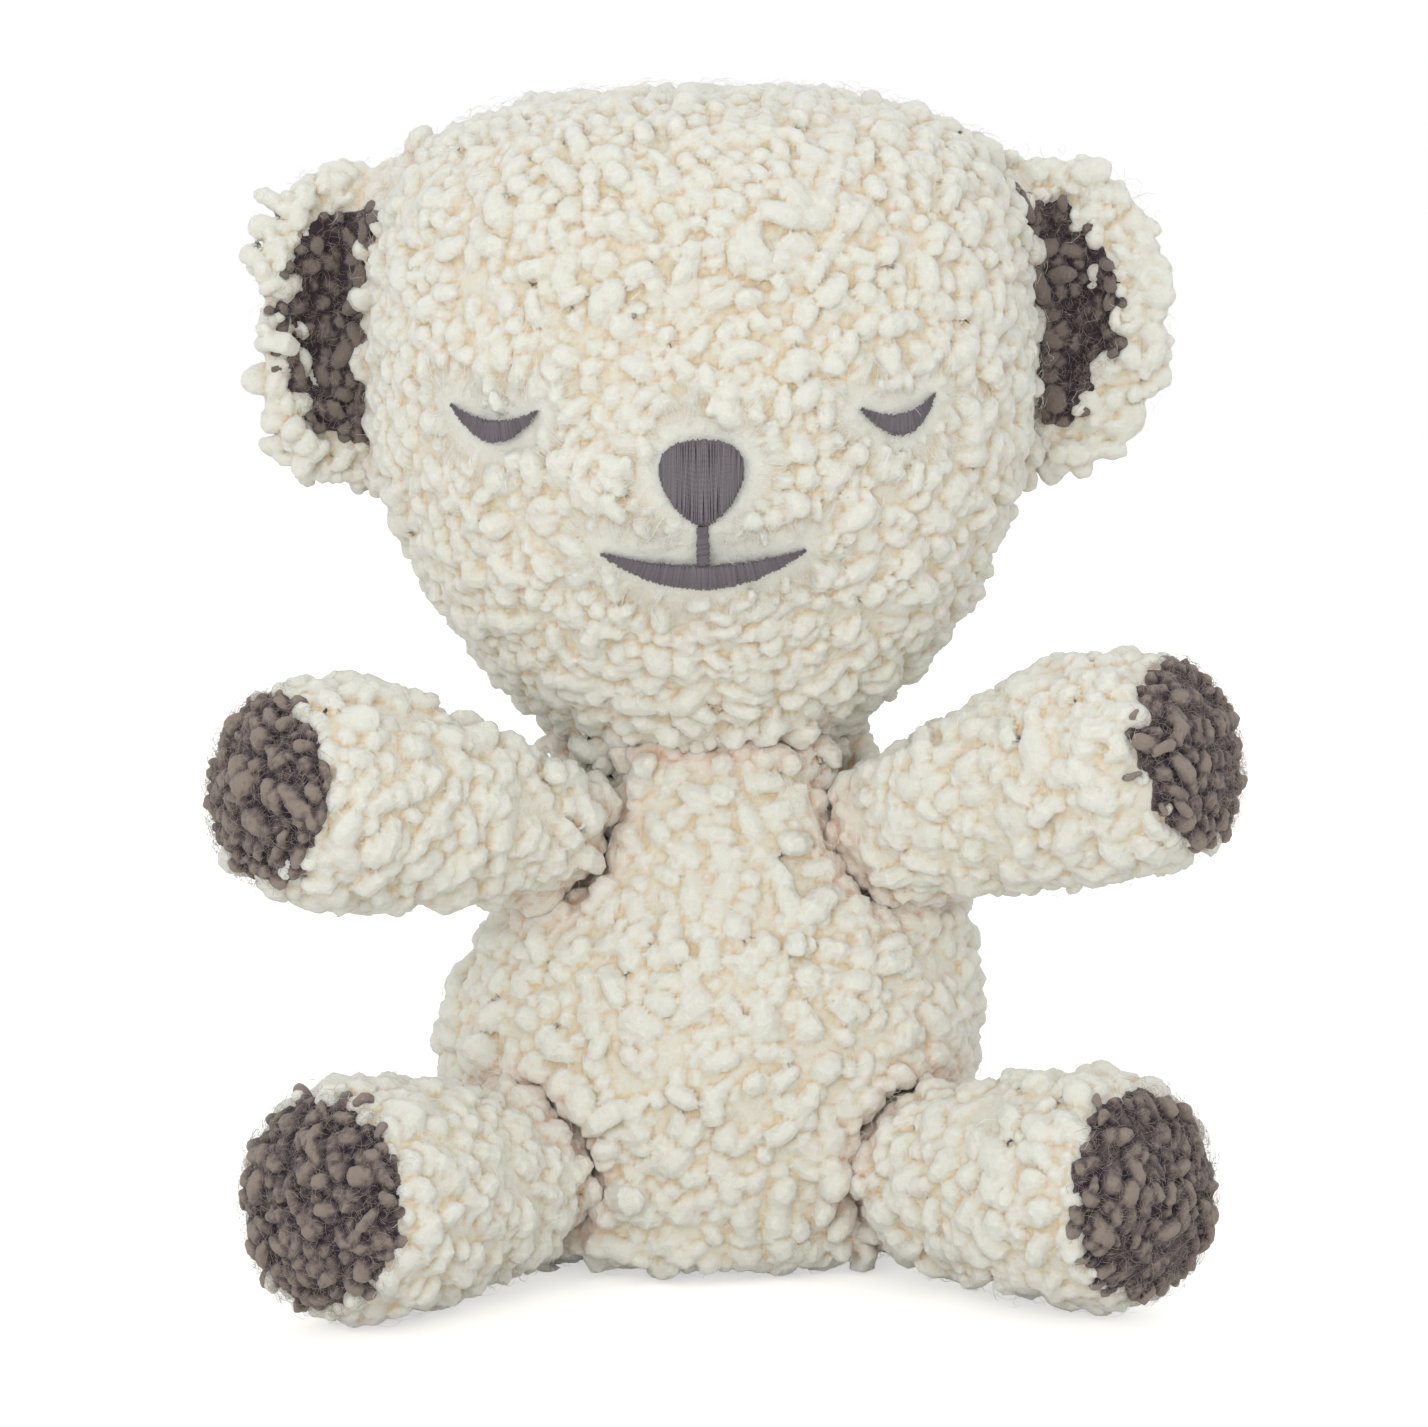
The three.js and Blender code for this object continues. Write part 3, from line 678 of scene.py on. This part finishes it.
def crossings(tree, place):
    """How many faces a line from a place passes through. From inside a closed form it is odd."""
    count = 0
    spot = tree.ray_cast(place, LOOK)[0]
    while spot is not None:
        count += 1
        spot = tree.ray_cast(spot + LOOK * STEP_PAST, LOOK)[0]
    return count


def depth_in(tree, place):
    """How deep a place lies inside a closed form, or below 0 outside it."""
    place = Vector(place)
    spot, normal, _, distance = tree.find_nearest(place)
    inside = ((place - spot).dot(normal) < 0 and distance < DEEP_INSIDE
              and crossings(tree, place) % 2 == 1)
    return distance if inside else -distance


def averaged(mesh, numbers, rounds):
    """Each point's numbers, averaged with those of its neighbours along the edges."""
    count = len(mesh.vertices)
    edges = read(mesh.edges, "vertices", 2, int)
    first, second = edges.T
    neighbours = np.maximum(np.bincount(edges.ravel(), minlength=count), 1)
    even = numbers.copy()
    for _ in range(rounds):
        for k in range(numbers.shape[1]):
            total = (np.bincount(first, even[second, k], count)
                     + np.bincount(second, even[first, k], count))
            even[:, k] = (even[:, k] + total / neighbours) / 2
    return even


def away_from(tree, places):
    return unit(places - nearest(tree, places, SPOT))


def depth_in_others(form_name, places):
    """How deep each place lies in the nearest of the other forms."""
    deepest = np.full(len(places), -1.0)
    for other, tree in form_trees.items():
        if other not in (form_name, "neck"):
            deepest = np.maximum(deepest, [depth_in(tree, place) for place in places])
    return deepest


def pad_lead(mesh, names):
    """For each face of a form, how far it lies inside the pad's border, or below 0 on the cover."""
    if len(names) == 1:
        return np.full(len(mesh.polygons), -1.0)
    places = points_of(mesh) + np.array([LINING_SHIFT.get(names[0], 0), 0, 0])
    cover, pad = (nearest(tree_of(name), places) for name in names)
    spread, rounds = PAD_SPREAD, PAD_ROUNDS
    if names[1].endswith("lining"):
        spread = LINING_SPREAD * np.clip(-0.4 - 3 * normals_of(mesh)[:, 1], -2, 1)
        rounds = LINING_ROUNDS
    lead = averaged(mesh, (cover - pad + spread)[:, None], rounds)[:, 0]
    return np.array([lead[list(face.vertices)].mean() for face in mesh.polygons])


def near_stitches(places, reach=STITCH_REACH):
    """1 on the embroidery, falling to 0 at the reach."""
    return 1 - smooth(0, reach, nearest(stitches, places))


# %% Add locks and loose fibres to a pile
def add_locks(pile, places, facing, squeezed, border, size, stamps, lean, top):
    """Adds curls. At the border of a pad they are smaller and upright, so none reaches over it."""
    count = len(places)
    wild = unit(chance.normal(size=(count, 3)))
    towards = unit(drift(places) * 0.9 + wild * 0.9 + np.array([0, 0, -0.35]))
    lean = np.radians(chance.uniform(*lean, count)) * (1 - 0.9 * border)
    roll = np.radians(chance.normal(0, 40, count))
    close = near_stitches(places, 12 * MM)
    tops = chance.normal(top, 0.8, count) * MM - 1.7 * MM * close + SQUEEZE * squeezed
    towards = towards * (1 - close)[:, None] + away_from(stitches, places) * close[:, None]
    axes = leaning_axes(facing, towards, lean + 0.6 * close, roll * (1 - close))
    sizes = size * chance.uniform(0.8, 1.2, (count, 1)) * chance.uniform(0.9, 1.12, (count, 3))
    sizes = sizes * ((1 - 0.6 * close) * (1 - 0.35 * border))[:, None]
    which = chance.integers(0, len(stamps), count)
    pile.add(stamps, which, places, axes, sizes, palette_cells(count), facing, tops)


def add_fibres(pile, places, facing, lean, tops, size=1.0, towards=None, stamps=FIBRES):
    """Adds single fibres, which lie every way unless they are combed towards one."""
    count = len(places)
    wild = unit(chance.normal(size=(count, 3)))
    combed = towards is not None
    towards = towards + wild * 0.45 if combed else wild
    roll = np.radians(chance.normal(0, 50, count) if combed else chance.uniform(-180, 180, count))
    axes = leaning_axes(facing, towards, np.radians(chance.uniform(*lean, count)), roll)
    sizes = np.repeat(size * chance.uniform(0.6, 1.25, (count, 1)), 3, axis=1)
    which = chance.integers(0, len(stamps), count)
    tops = tops + chance.normal(0, 0.6, count) * MM
    pile.add(stamps, which, places, axes, sizes, palette_cells(count), facing, tops)


def palette_cells(count):
    return chance.integers(0, CELLS, (count, 2))


# %% Fleece and fibre finishes
def fleece_finish(name, tip, middle, deep, crease_shade_colour, bright, **more):
    """Fleece with painted light: lighter curl tips, and warmer, darker painted shade in hollows and
    creases. U of `curl` is how hollow it is, and V how creased.
    """
    finish = Finish(name, Roughness=0.95, Sheen_Weight=0.2, Sheen_Roughness=0.4, **more)
    here = finish.node("ShaderNodeUVMap", {"uv_map": "curl"})
    depth = finish.node("ShaderNodeSeparateXYZ", None, here, output=0)
    creased = finish.node("ShaderNodeSeparateXYZ", None, here, output=1)
    place = finish.node("ShaderNodeTexCoord", None, output=3)
    patch = finish.node("ShaderNodeTexNoise", None, Vector=place, Scale=130.0, Detail=2.0)
    grain = finish.node("ShaderNodeTexNoise", None, Vector=place, Scale=700.0, Detail=4.0,
                        Roughness=0.75)
    depth = depth + (patch - 0.5) * 0.2 + (grain - 0.5) * 0.12
    # Painted highlight and shade: the tips are lightest, and the middle and deep colours shade the
    # hollows between the curls.
    shade = finish.mix(depth.between(0.15, 0.5), tip, middle)
    shade = finish.mix(depth.between(0.5, 0.95), shade, deep)
    # Painted shade in the creases where this part meets another.
    shade = finish.mix(creased * (depth.between(0.2, 0.6) * 0.6 + 0.4), shade, crease_shade_colour)
    shade = finish.mix(grain.between(0.55, 0.8) * 0.5, shade, bright)
    finish.set(Base_Color=shade)
    finish.bump(grain, 0.9 * MM, 0.9)
    return finish.material


def palette(finish):
    """The palette's tint at a point, and the map scaled so that each of its cells is 1 wide."""
    here = finish.node("ShaderNodeUVMap", {"uv_map": "curl"})
    scaled = finish.node("ShaderNodeVectorMath", {"operation": "SCALE"}, here, Scale=CELLS)
    cell = finish.node("ShaderNodeVectorMath", {"operation": "FLOOR"}, scaled)
    tint = finish.node("ShaderNodeTexWhiteNoise", {"noise_dimensions": "2D"}, Vector=cell)
    return tint, scaled


def fibre_finish(name, dark, light):
    """Single fibres, each with its own tint."""
    finish = Finish(name, Roughness=0.8, Sheen_Weight=0.08)
    finish.set(Base_Color=finish.mix(palette(finish)[0], dark, light))
    return finish.material


# Each fleece gives its tip colour, a painted highlight, then middle and deep colours of painted shade
# between the curls, the painted shade of creases between parts, and a bright random grain.
FLEECES = (
    fleece_finish("cream_fleece", colour(235, 235, 226), colour(234, 231, 218),
                  colour(232, 214, 182), colour(220, 152, 106), colour(241, 242, 236),
                  Subsurface_Weight=0.8, Subsurface_Scale=1.0,
                  Subsurface_Radius=(1.4 * MM, 1.3 * MM, 1.1 * MM)),
    fleece_finish("taupe_fleece", colour(150, 137, 127), colour(104, 91, 89),
                  colour(44, 31, 43), colour(52, 38, 46), colour(178, 166, 155)))
FIBRE_FINISHES = (
    fibre_finish("cream_fibres", colour(232, 230, 220), colour(248, 247, 243)),
    fibre_finish("taupe_fibres", colour(138, 124, 116), colour(186, 172, 160)))

# %% [markdown]
# ## From separate curls to one soft coat
#
# Where two modelled curls cross, a hard line shows, and fleece has none: its curls are felted into
# each other at the roots. A voxel remesh joins the curls and the cloth under them into one skin, and
# Smooth turns each line into a soft crease. A UV map keeps how hollow the skin is at each point and
# how near it lies to another part, so that painted shade, warmer and darker, can go between the curls
# and into the creases between parts.

# %% Cloth under the curls
BED = 3.9 * MM
FACE_BED = 2.9 * MM
EAR_BED = 3.5 * MM
PAD_ABOVE = 0.4 * MM
PATCH_THICKNESS = 2 * MM
# Depth below the form and hollowness, which set how much painted shade lies between the curls
DEEPEST = 5 * MM
HOLLOW = 0.55 * MM


def cloth_under(form, squeezed, bed, faces=None):
    """A copy of a form that lies deeper, or only some of its faces as a thin closed patch."""
    cloth = form.copy()
    cloth.data = form.data.copy()
    bpy.context.scene.collection.objects.link(cloth)
    places = points_of(cloth.data)
    down = bed - (bed - FACE_BED) * near_stitches(places) - SQUEEZE * squeezed
    move_points(cloth.data, places - normals_of(cloth.data) * down[:, None])
    if faces is not None:
        only(cloth)
        bpy.ops.object.mode_set(mode="EDIT")
        bpy.ops.mesh.select_mode(type="FACE")
        bpy.ops.mesh.select_all(action="DESELECT")
        bpy.ops.object.mode_set(mode="OBJECT")
        cloth.data.polygons.foreach_set("select", ~faces)
        bpy.ops.object.mode_set(mode="EDIT")
        bpy.ops.mesh.delete(type="FACE")
        bpy.ops.object.mode_set(mode="OBJECT")
        modified(cloth, "SOLIDIFY", thickness=PATCH_THICKNESS, offset=-1)
    return cloth


# %% Join curls and cloth
lumps = bpy.data.textures.new("lumps", "CLOUDS")
lumps.noise_scale = 1.5 * MM
lumps.noise_depth = 2


def felted(curls, cloth, voxel):
    """Joins curls and cloth into one skin and roughens it a little."""
    only(curls)
    cloth.select_set(True)
    bpy.ops.object.join()
    while curls.data.uv_layers:
        curls.data.uv_layers.remove(curls.data.uv_layers[0])
    curls.data.remesh_voxel_size = voxel
    bpy.ops.object.voxel_remesh()
    modified(curls, "SMOOTH", factor=0.35, iterations=1)
    modified(curls, "DISPLACE", texture=lumps, strength=0.7 * MM, mid_level=0.5,
             texture_coords="LOCAL")
    curls.data.shade_smooth()
    return curls


def hollows(mesh):
    """How far each point lies below the average of its surroundings, in metres."""
    places = points_of(mesh)
    return ((averaged(mesh, places, 7) - places) * normals_of(mesh)).sum(1)


def six_charts(mesh, corner_of):
    """Charts for a baked copy: the six sides of the piece, each in its own third and half."""
    places = points_of(mesh)
    sizes = read(mesh.polygons, "loop_total", kind=int)
    middle, half = (places.min(0) + places.max(0)) / 2, np.ptp(places, axis=0) / 2
    looking = (read(mesh.polygons, "center", 3) - middle) / half
    side = np.argmax(abs(looking), axis=1)
    rows = np.arange(len(side))
    flip = (looking[rows, side] < 0).astype(int)
    side, flip = np.repeat(side, sizes), np.repeat(flip, sizes)
    inside = ((places - middle) / half)[corner_of]
    rows = np.arange(len(side))
    ahead = np.maximum(abs(inside[rows, side]), 0.2)
    across = np.clip(inside[rows, (side + 1) % 3] / ahead, -1.08, 1.08) / 2.2 + 0.5
    up = np.clip(inside[rows, (side + 2) % 3] / ahead, -1.08, 1.08) / 2.2 + 0.5
    return np.stack([(side + across) / 3, (flip + up) / 2], axis=1)


def map_fleece(piece, form_name, crease_shade, by_depth):
    """Gives the fused skin its two maps: charts for a baked copy, and how much painted shade its
    hollows and creases get.
    """
    mesh = piece.data
    places = points_of(mesh)
    tree = form_trees[form_name]
    spots, facing, faces, _ = zip(*(tree.find_nearest(place) for place in places))
    spots = np.array(spots)
    depth = -((places - spots) * np.array(facing)).sum(1)
    # How hollow each point is sets the painted shade between the curls, and there is less of it near
    # the embroidery.
    hollow = 0.22 + np.clip(depth / DEEPEST, 0, 1) * by_depth + hollows(mesh) / HOLLOW * 0.5
    hollow = np.clip(hollow, 0, 1) * (1 - 0.6 * near_stitches(spots))
    corner_of = read(mesh.loops, "vertex_index", kind=int)
    levels = np.stack([hollow, crease_shade[np.array(faces)]], axis=1)[corner_of]
    for map_name, numbers in (("OFBake", six_charts(mesh, corner_of)), ("curl", levels)):
        layer = mesh.uv_layers.new(name=map_name)
        layer.data.foreach_set("uv", np.ascontiguousarray(numbers).ravel())


# %% Cover every form
# How the curls and fibres of each kind of fleece stand. The drop and the rise are in millimetres.
# by_depth sets how much the painted shade between the curls grows with depth below the form.
Coat = namedtuple("Coat", "curls lean spacing nub_spacing nub_drop fibre_share fibre_rise "
                          "fibre_size voxel by_depth")
COVER = Coat(LOCKS, (15, 62), 4.9 * MM, 3.8 * MM, 1.2, 0.06, 1.0, 0.8,
             (0.9 * MM, 1.3 * MM)[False], 0.3)
PAD = Coat(RINGLETS, (0, 75), 4.0 * MM, 0.85 * 3.8 * MM, 1.5, 0.9, 0.5, 0.55,
           (0.7 * MM, 1.0 * MM)[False], 0.75)
LINING = PAD._replace(curls=SHORT_RINGLETS, spacing=3.5 * MM)
CURL_TOP = -0.9
NUB_LEAN = (0, 35)
FIBRE_LEAN = (45, 85)
COMBED_LEAN = (78, 89)
# Ear linings get this much painted crease shade all over, which darkens them as the shade inside the
# ear does.
LINING_SHADE = 0.9
COVERS = {"torso": ["torso_cover"], "head": ["head_cover"], "neck": ["neck_stuffing"]}
for side in ("left", "right"):
    COVERS[f"{side}_ear"] = [f"{side}_ear_flap", f"{side}_ear_lining"]
for limb, pad in LIMBS.items():
    COVERS[limb] = [f"{limb}_cover", pad]


def standing(form_name, places, facing):
    """Leaves out places in another form or on the embroidery. The third result says how near each
    place is to another form, because two pieces of fleece that meet squeeze each other's curls out."""
    deep = depth_in_others(form_name, places)
    keep = deep < CROSSING
    if form_name == "head":
        keep &= nearest(stitches, places) > STITCH_ROOM
    return places[keep], facing[keep], smooth(-SQUEEZE_REACH, 0, deep[keep])


def dressed(piece, form_name, node):
    """Attaches a piece to what it rides on and hides the node that it stands for."""
    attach(piece, form_name)
    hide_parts(node)
    return piece


fleece = {}
for form_name, names in COVERS.items():
    form = forms[form_name]
    mesh = form.data
    centres = read(mesh.polygons, "center", 3)
    # Painted shade in the creases, strongest where this form meets or enters another.
    crease_shade = np.clip(1 + depth_in_others(form_name, centres) / CREASE, 0, 1) ** 2
    crease_shade = crease_shade * CREASE_SHADE_STRENGTH.get(form_name, 1)
    squeezed = smooth(-SQUEEZE_REACH, 0, depth_in_others(form_name, points_of(mesh)))
    lead = pad_lead(mesh, names)
    owner = (lead > 0).astype(int)
    border = 1 - smooth(0, BORDER, abs(lead))
    bed = EAR_BED if form_name.endswith("ear") else BED
    spots, normals, near = standing(form_name, *thrown(form, 0.9 / MM**2))
    spot_owner = owner[nearest(form_trees[form_name], spots, FACE)]
    for number, node in enumerate(names):
        is_lining = node.endswith("lining")
        coat = LINING if is_lining else (COVER, PAD)[number]
        size = FORM_SIZE.get(form_name, LIMB_SIZE)
        if number == 1 and form_name in LIMBS:
            size *= PAD_SIZE
        curls = standing(form_name, *scattered(form, coat.spacing * size))
        nubs = standing(form_name, *scattered(form, coat.nub_spacing * size))
        pile = Pile()
        for places, stamps, lean, top in (
                (curls, coat.curls, coat.lean, CURL_TOP),
                (nubs, NUBS, NUB_LEAN, CURL_TOP - coat.nub_drop)):
            at = nearest(form_trees[form_name], places[0], FACE)
            mine = owner[at] == number
            places = [part[mine] for part in places]
            add_locks(pile, *places, border[at][mine], size, stamps, lean, top)
        piece = pile.piece(f"{node}_fleece", FLEECES[number])
        patch = (bed - PAD_ABOVE, owner == 1) if number == 1 else (bed,)
        piece = felted(piece, cloth_under(form, squeezed, *patch), coat.voxel)
        # Linings are darkened all over with painted shade.
        map_fleece(piece, form_name, np.maximum(crease_shade, LINING_SHADE) if is_lining else crease_shade,
                   coat.by_depth)
        move_points(piece.data, pressed(points_of(piece.data)))
        piece.data.materials.clear()
        piece.data.materials.append(FLEECES[number])
        fleece[node] = dressed(piece, form_name, node)

        fibres = Pile()
        mine = (spot_owner == number) & (chance.random(len(spots)) < coat.fibre_share)
        tops = (CURL_TOP + coat.fibre_rise) * MM + SQUEEZE * near[mine]
        add_fibres(fibres, spots[mine], normals[mine], FIBRE_LEAN, tops, coat.fibre_size)
        if form_name == "head":
            mine = (near_stitches(spots) > 0.02) & (chance.random(len(spots)) < 0.5)
            tops = -1.4 * MM - 0.8 * MM * near_stitches(spots[mine])
            add_fibres(fibres, spots[mine], normals[mine], COMBED_LEAN, tops,
                       towards=away_from(stitches, spots[mine]), stamps=COMBED)
        fuzz = fibres.piece(f"{node}_fuzz", FIBRE_FINISHES[number])
        fleece[f"{node}_fuzz"] = dressed(fuzz, form_name, node)
print({name: len(piece.data.polygons) for name, piece in fleece.items()})

# %% The stuffing inside, which is looser than the cloth round it
WADDING_GAP = 5.2 * MM
WADDING_GRAIN = 3 * MM
wadding = Finish("stuffing_fibre", Roughness=1.0, Sheen_Weight=0.3)
place = wadding.node("ShaderNodeTexCoord", None, output=3)
tufts = wadding.node("ShaderNodeTexNoise", None, Vector=place, Scale=220.0, Detail=5.0)
wadding.set(Base_Color=wadding.mix(tufts, colour(222, 214, 198), colour(244, 240, 230)))
wadding.bump(tufts, 1.5 * MM, 0.8)


def stuffed(node, body):
    """Wadding in the shape of a packed stuffing, far enough in to stay under the curls' backing."""
    piece = nodes[node].copy()
    piece.data = nodes[node].data.copy()
    piece.name = node.replace("stuffing", "wadding")
    bpy.context.scene.collection.objects.link(piece)
    for rounds, inwards in ((3, WADDING_GAP), (2, 0)):
        only(piece)
        piece.data.remesh_voxel_size = WADDING_GRAIN
        bpy.ops.object.voxel_remesh()
        modified(piece, "SMOOTH", factor=0.5, iterations=rounds)
        move_points(piece.data, points_of(piece.data) - normals_of(piece.data) * inwards)
    piece.data.shade_smooth()
    piece.data.materials.clear()
    piece.data.materials.append(wadding.material)
    return dressed(piece, body, node)


for node in [name for name in nodes if name.endswith("_stuffing") and name != "neck_stuffing"]:
    stuffed(node, node.removesuffix("_stuffing"))

for form in forms.values():
    bpy.data.objects.remove(form)


# %% [markdown]
# ## The embroidered face
#
# The nose, mouth and closed eyes are satin stitch: threads laid side by side from one edge of the
# shape to the other, over a little padding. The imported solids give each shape, and thread by thread
# the script looks where it begins and ends.

# %% Lay the threads
THREAD = 0.44 * MM
THREAD_SPACING = THREAD * 0.75
FEEL = 0.12 * MM
REACH = 14 * MM
AHEAD = Vector((0, 1, 0))
OUT = np.array([0, -1.0, 0])


def front(tree, across, up):
    """The front of a patch at a place on the face, or None beside the patch."""
    return tree.ray_cast(Vector((across, -1, up)), AHEAD)[0]


def crossing(tree, across, up, heading, reach):
    """Where a line over a patch begins and ends, measured from its middle."""
    steps = np.arange(-reach, reach, FEEL)
    hits = [step for step in steps
            if front(tree, across + heading[0] * step, up + heading[1] * step)]
    return (hits[0], hits[-1]) if hits else None


def stitch(pile, tree, across, up, heading, reach, crown, points):
    """Lays one thread over a patch, raised in its middle by the crown."""
    ends = crossing(tree, across, up, heading, reach)
    if ends is None:
        return
    start, stop = ends[0] - chance.uniform(0, 0.5) * MM, ends[1] + chance.uniform(0, 0.5) * MM
    path, last = [], None
    for share in np.linspace(0, 1, points):
        step = start + (stop - start) * share
        inside = min(max(step, ends[0]), ends[1])
        hit = front(tree, across + heading[0] * inside, up + heading[1] * inside) or last
        if hit is None:
            continue
        last = hit
        raised = crown * (1 - (2 * share - 1) ** 4) - 0.35 * MM * (abs(2 * share - 1) > 0.99)
        path.append((across + heading[0] * step, hit.y - raised, up + heading[1] * step))
    if len(path) > 2:
        pile.lay(path, THREAD * chance.uniform(0.92, 1.1), OUT, palette_cells(1)[0])


def satin(name, crown, fan, points, sideways):
    """The threads of one patch. They spread by the fan, and sideways ones lie across the patch."""
    tree = tree_of(name)
    low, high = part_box(name)
    middle = (low + high) / 2
    half = (high.z - low.z) / 2 if sideways else (high.x - low.x) / 2
    pile = Pile()
    for offset in np.arange(-half + 0.15 * MM, half, THREAD_SPACING):
        if sideways:
            stitch(pile, tree, middle.x, middle.z + offset, (0.98, 0.2), 4 * MM, crown, points)
            continue
        across = middle.x + offset
        column = crossing(tree, across, middle.z, (0, 1), REACH)
        if column is None:
            continue
        angle = -fan * offset / half + chance.normal(0, 0.02)
        heading = (math.sin(angle), math.cos(angle))
        up = middle.z + (column[0] + column[1]) / 2
        stitch(pile, tree, across, up, heading, REACH, crown, points)
    return pile


def read_curl(finish):
    """The palette's tint, and how far round and along its thread a point lies."""
    tint, scaled = palette(finish)
    inside = finish.node("ShaderNodeVectorMath", {"operation": "FRACTION"}, scaled)
    turn, along = (finish.node("ShaderNodeSeparateXYZ", None, inside, output=k) for k in (0, 1))
    return tint, turn, along


def wound_fibres(finish, tint, turn, along):
    """A noise that is drawn out along the thread and winds round it."""
    angle = (turn + along * 0.3) * (2 * math.pi)
    ring = finish.node("ShaderNodeCombineXYZ", None, angle.maths("COSINE") * 2.0,
                       angle.maths("SINE") * 2.0, along * 3.0 + tint * 40.0)
    return finish.node("ShaderNodeTexNoise", None, Vector=ring, Scale=1.0, Detail=4.0,
                       Roughness=0.7)


def thread_finish(name, dark, light):
    """Plied thread with a soft shine. Its two strands wind round each other."""
    finish = Finish(name, Roughness=0.5, Sheen_Weight=0.15)
    tint, turn, along = read_curl(finish)
    plies = ((turn + along * 9.0) * (4 * math.pi)).maths("SINE") * 0.5 + 0.5
    fibres = wound_fibres(finish, tint, turn, along)
    shade = finish.mix(tint * 0.6 + fibres * 0.3 + plies * 0.1, dark, light)
    finish.set(Base_Color=shade)
    finish.bump(plies * 0.6 + fibres * 0.4, 0.12 * MM, 0.7)
    return finish.material


thread = thread_finish("embroidery_thread", colour(84, 76, 84), colour(124, 116, 122))
underlay = Finish("embroidery_underlay", Roughness=0.7)
underlay.set(Base_Color=colour(92, 84, 91))
# How far the threads stand out, how they fan, points along each, and whether they lie sideways
SATIN = {"nose": (0.9 * MM, 0.0, 17, False), "mouth": (0.45 * MM, 0.6, 9, False),
         "left_eye": (0.4 * MM, 0.5, 9, False), "right_eye": (0.4 * MM, 0.5, 9, False),
         "philtrum": (0.3 * MM, 0.0, 7, True)}
for part, settings in SATIN.items():
    node = f"{part}_embroidery"
    threads = satin(node, *settings).piece(f"{part}_threads", thread)
    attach(threads, "head")
    nodes[node].data.materials.clear()
    nodes[node].data.materials.append(underlay.material)

# %% [markdown]
# ## Studio
#
# A white floor and a white world look white to the camera, and give the bear less light than that, so
# that its shadows keep some depth.

# %% Floor, light and camera
def seen_directly(tree):
    """1 for rays from the camera, a mirror or a pane, and 0 for scattered light."""
    path = tree.nodes.new("ShaderNodeLightPath")
    most = path.outputs["Is Camera Ray"]
    for kind in ("Is Glossy Ray", "Is Transmission Ray"):
        larger = tree.nodes.new("ShaderNodeMath")
        larger.operation = "MAXIMUM"
        tree.links.new(most, larger.inputs[0])
        tree.links.new(path.outputs[kind], larger.inputs[1])
        most = larger.outputs[0]
    return most


bpy.ops.mesh.primitive_plane_add(size=6)
floor = bpy.context.object
floor.name = "floor"
ground = Finish("floor", Roughness=0.9)
seen = Value(ground, seen_directly(ground.material.node_tree))
ground.set(Base_Color=colour(232, 230, 226), Emission_Color=(1.0, 1.0, 1.0),
           Emission_Strength=seen * 0.55)
floor.data.materials.append(ground.material)

world = bpy.data.worlds.new("studio")
bpy.context.scene.world = world
world.use_nodes = True
tree = world.node_tree
sky = tree.nodes["Background"]
sky.inputs["Color"].default_value = (1, 1, 1, 1)
level = tree.nodes.new("ShaderNodeMapRange")
level.inputs["To Min"].default_value = 0.8
level.inputs["To Max"].default_value = 1.0
tree.links.new(seen_directly(tree), level.inputs["Value"])
tree.links.new(level.outputs[0], sky.inputs["Strength"])


def lamp(name, place, size, power, aim=(0, 0, 0.15)):
    """A round soft light that looks at a point in the bear."""
    light = bpy.data.lights.new(name, "AREA")
    light.shape = "DISK"
    light.size = size
    light.energy = power
    obj = bpy.data.objects.new(name, light)
    bpy.context.scene.collection.objects.link(obj)
    obj.location = place
    obj.rotation_euler = (Vector(aim) - Vector(place)).to_track_quat("-Z", "Y").to_euler()


lamp("key", (-0.35, -1.75, 0.55), 1.4, 11)
lamp("top", (0.3, -0.4, 1.9), 1.2, 0.6)
lamp("back", (0.4, 1.7, 0.9), 1.6, 4.5)

VIEW_DISTANCE = 1.2
VIEW_HEIGHT = 7.0  # degrees
LENS = 124.9
FILM_WIDTH = 36
aim = Vector((-0.0031, 0, 0.1365))
away = Vector((0, -math.cos(math.radians(VIEW_HEIGHT)), math.sin(math.radians(VIEW_HEIGHT))))
camera = bpy.data.objects.new("camera", bpy.data.cameras.new("camera"))
camera.data.lens = LENS
camera.data.sensor_width = FILM_WIDTH
camera.location = aim + away * VIEW_DISTANCE
camera.rotation_euler = (-away).to_track_quat("-Z", "Y").to_euler()
bpy.context.scene.collection.objects.link(camera)
bpy.context.scene.camera = camera
bpy.context.scene.view_settings.view_transform = "Standard"
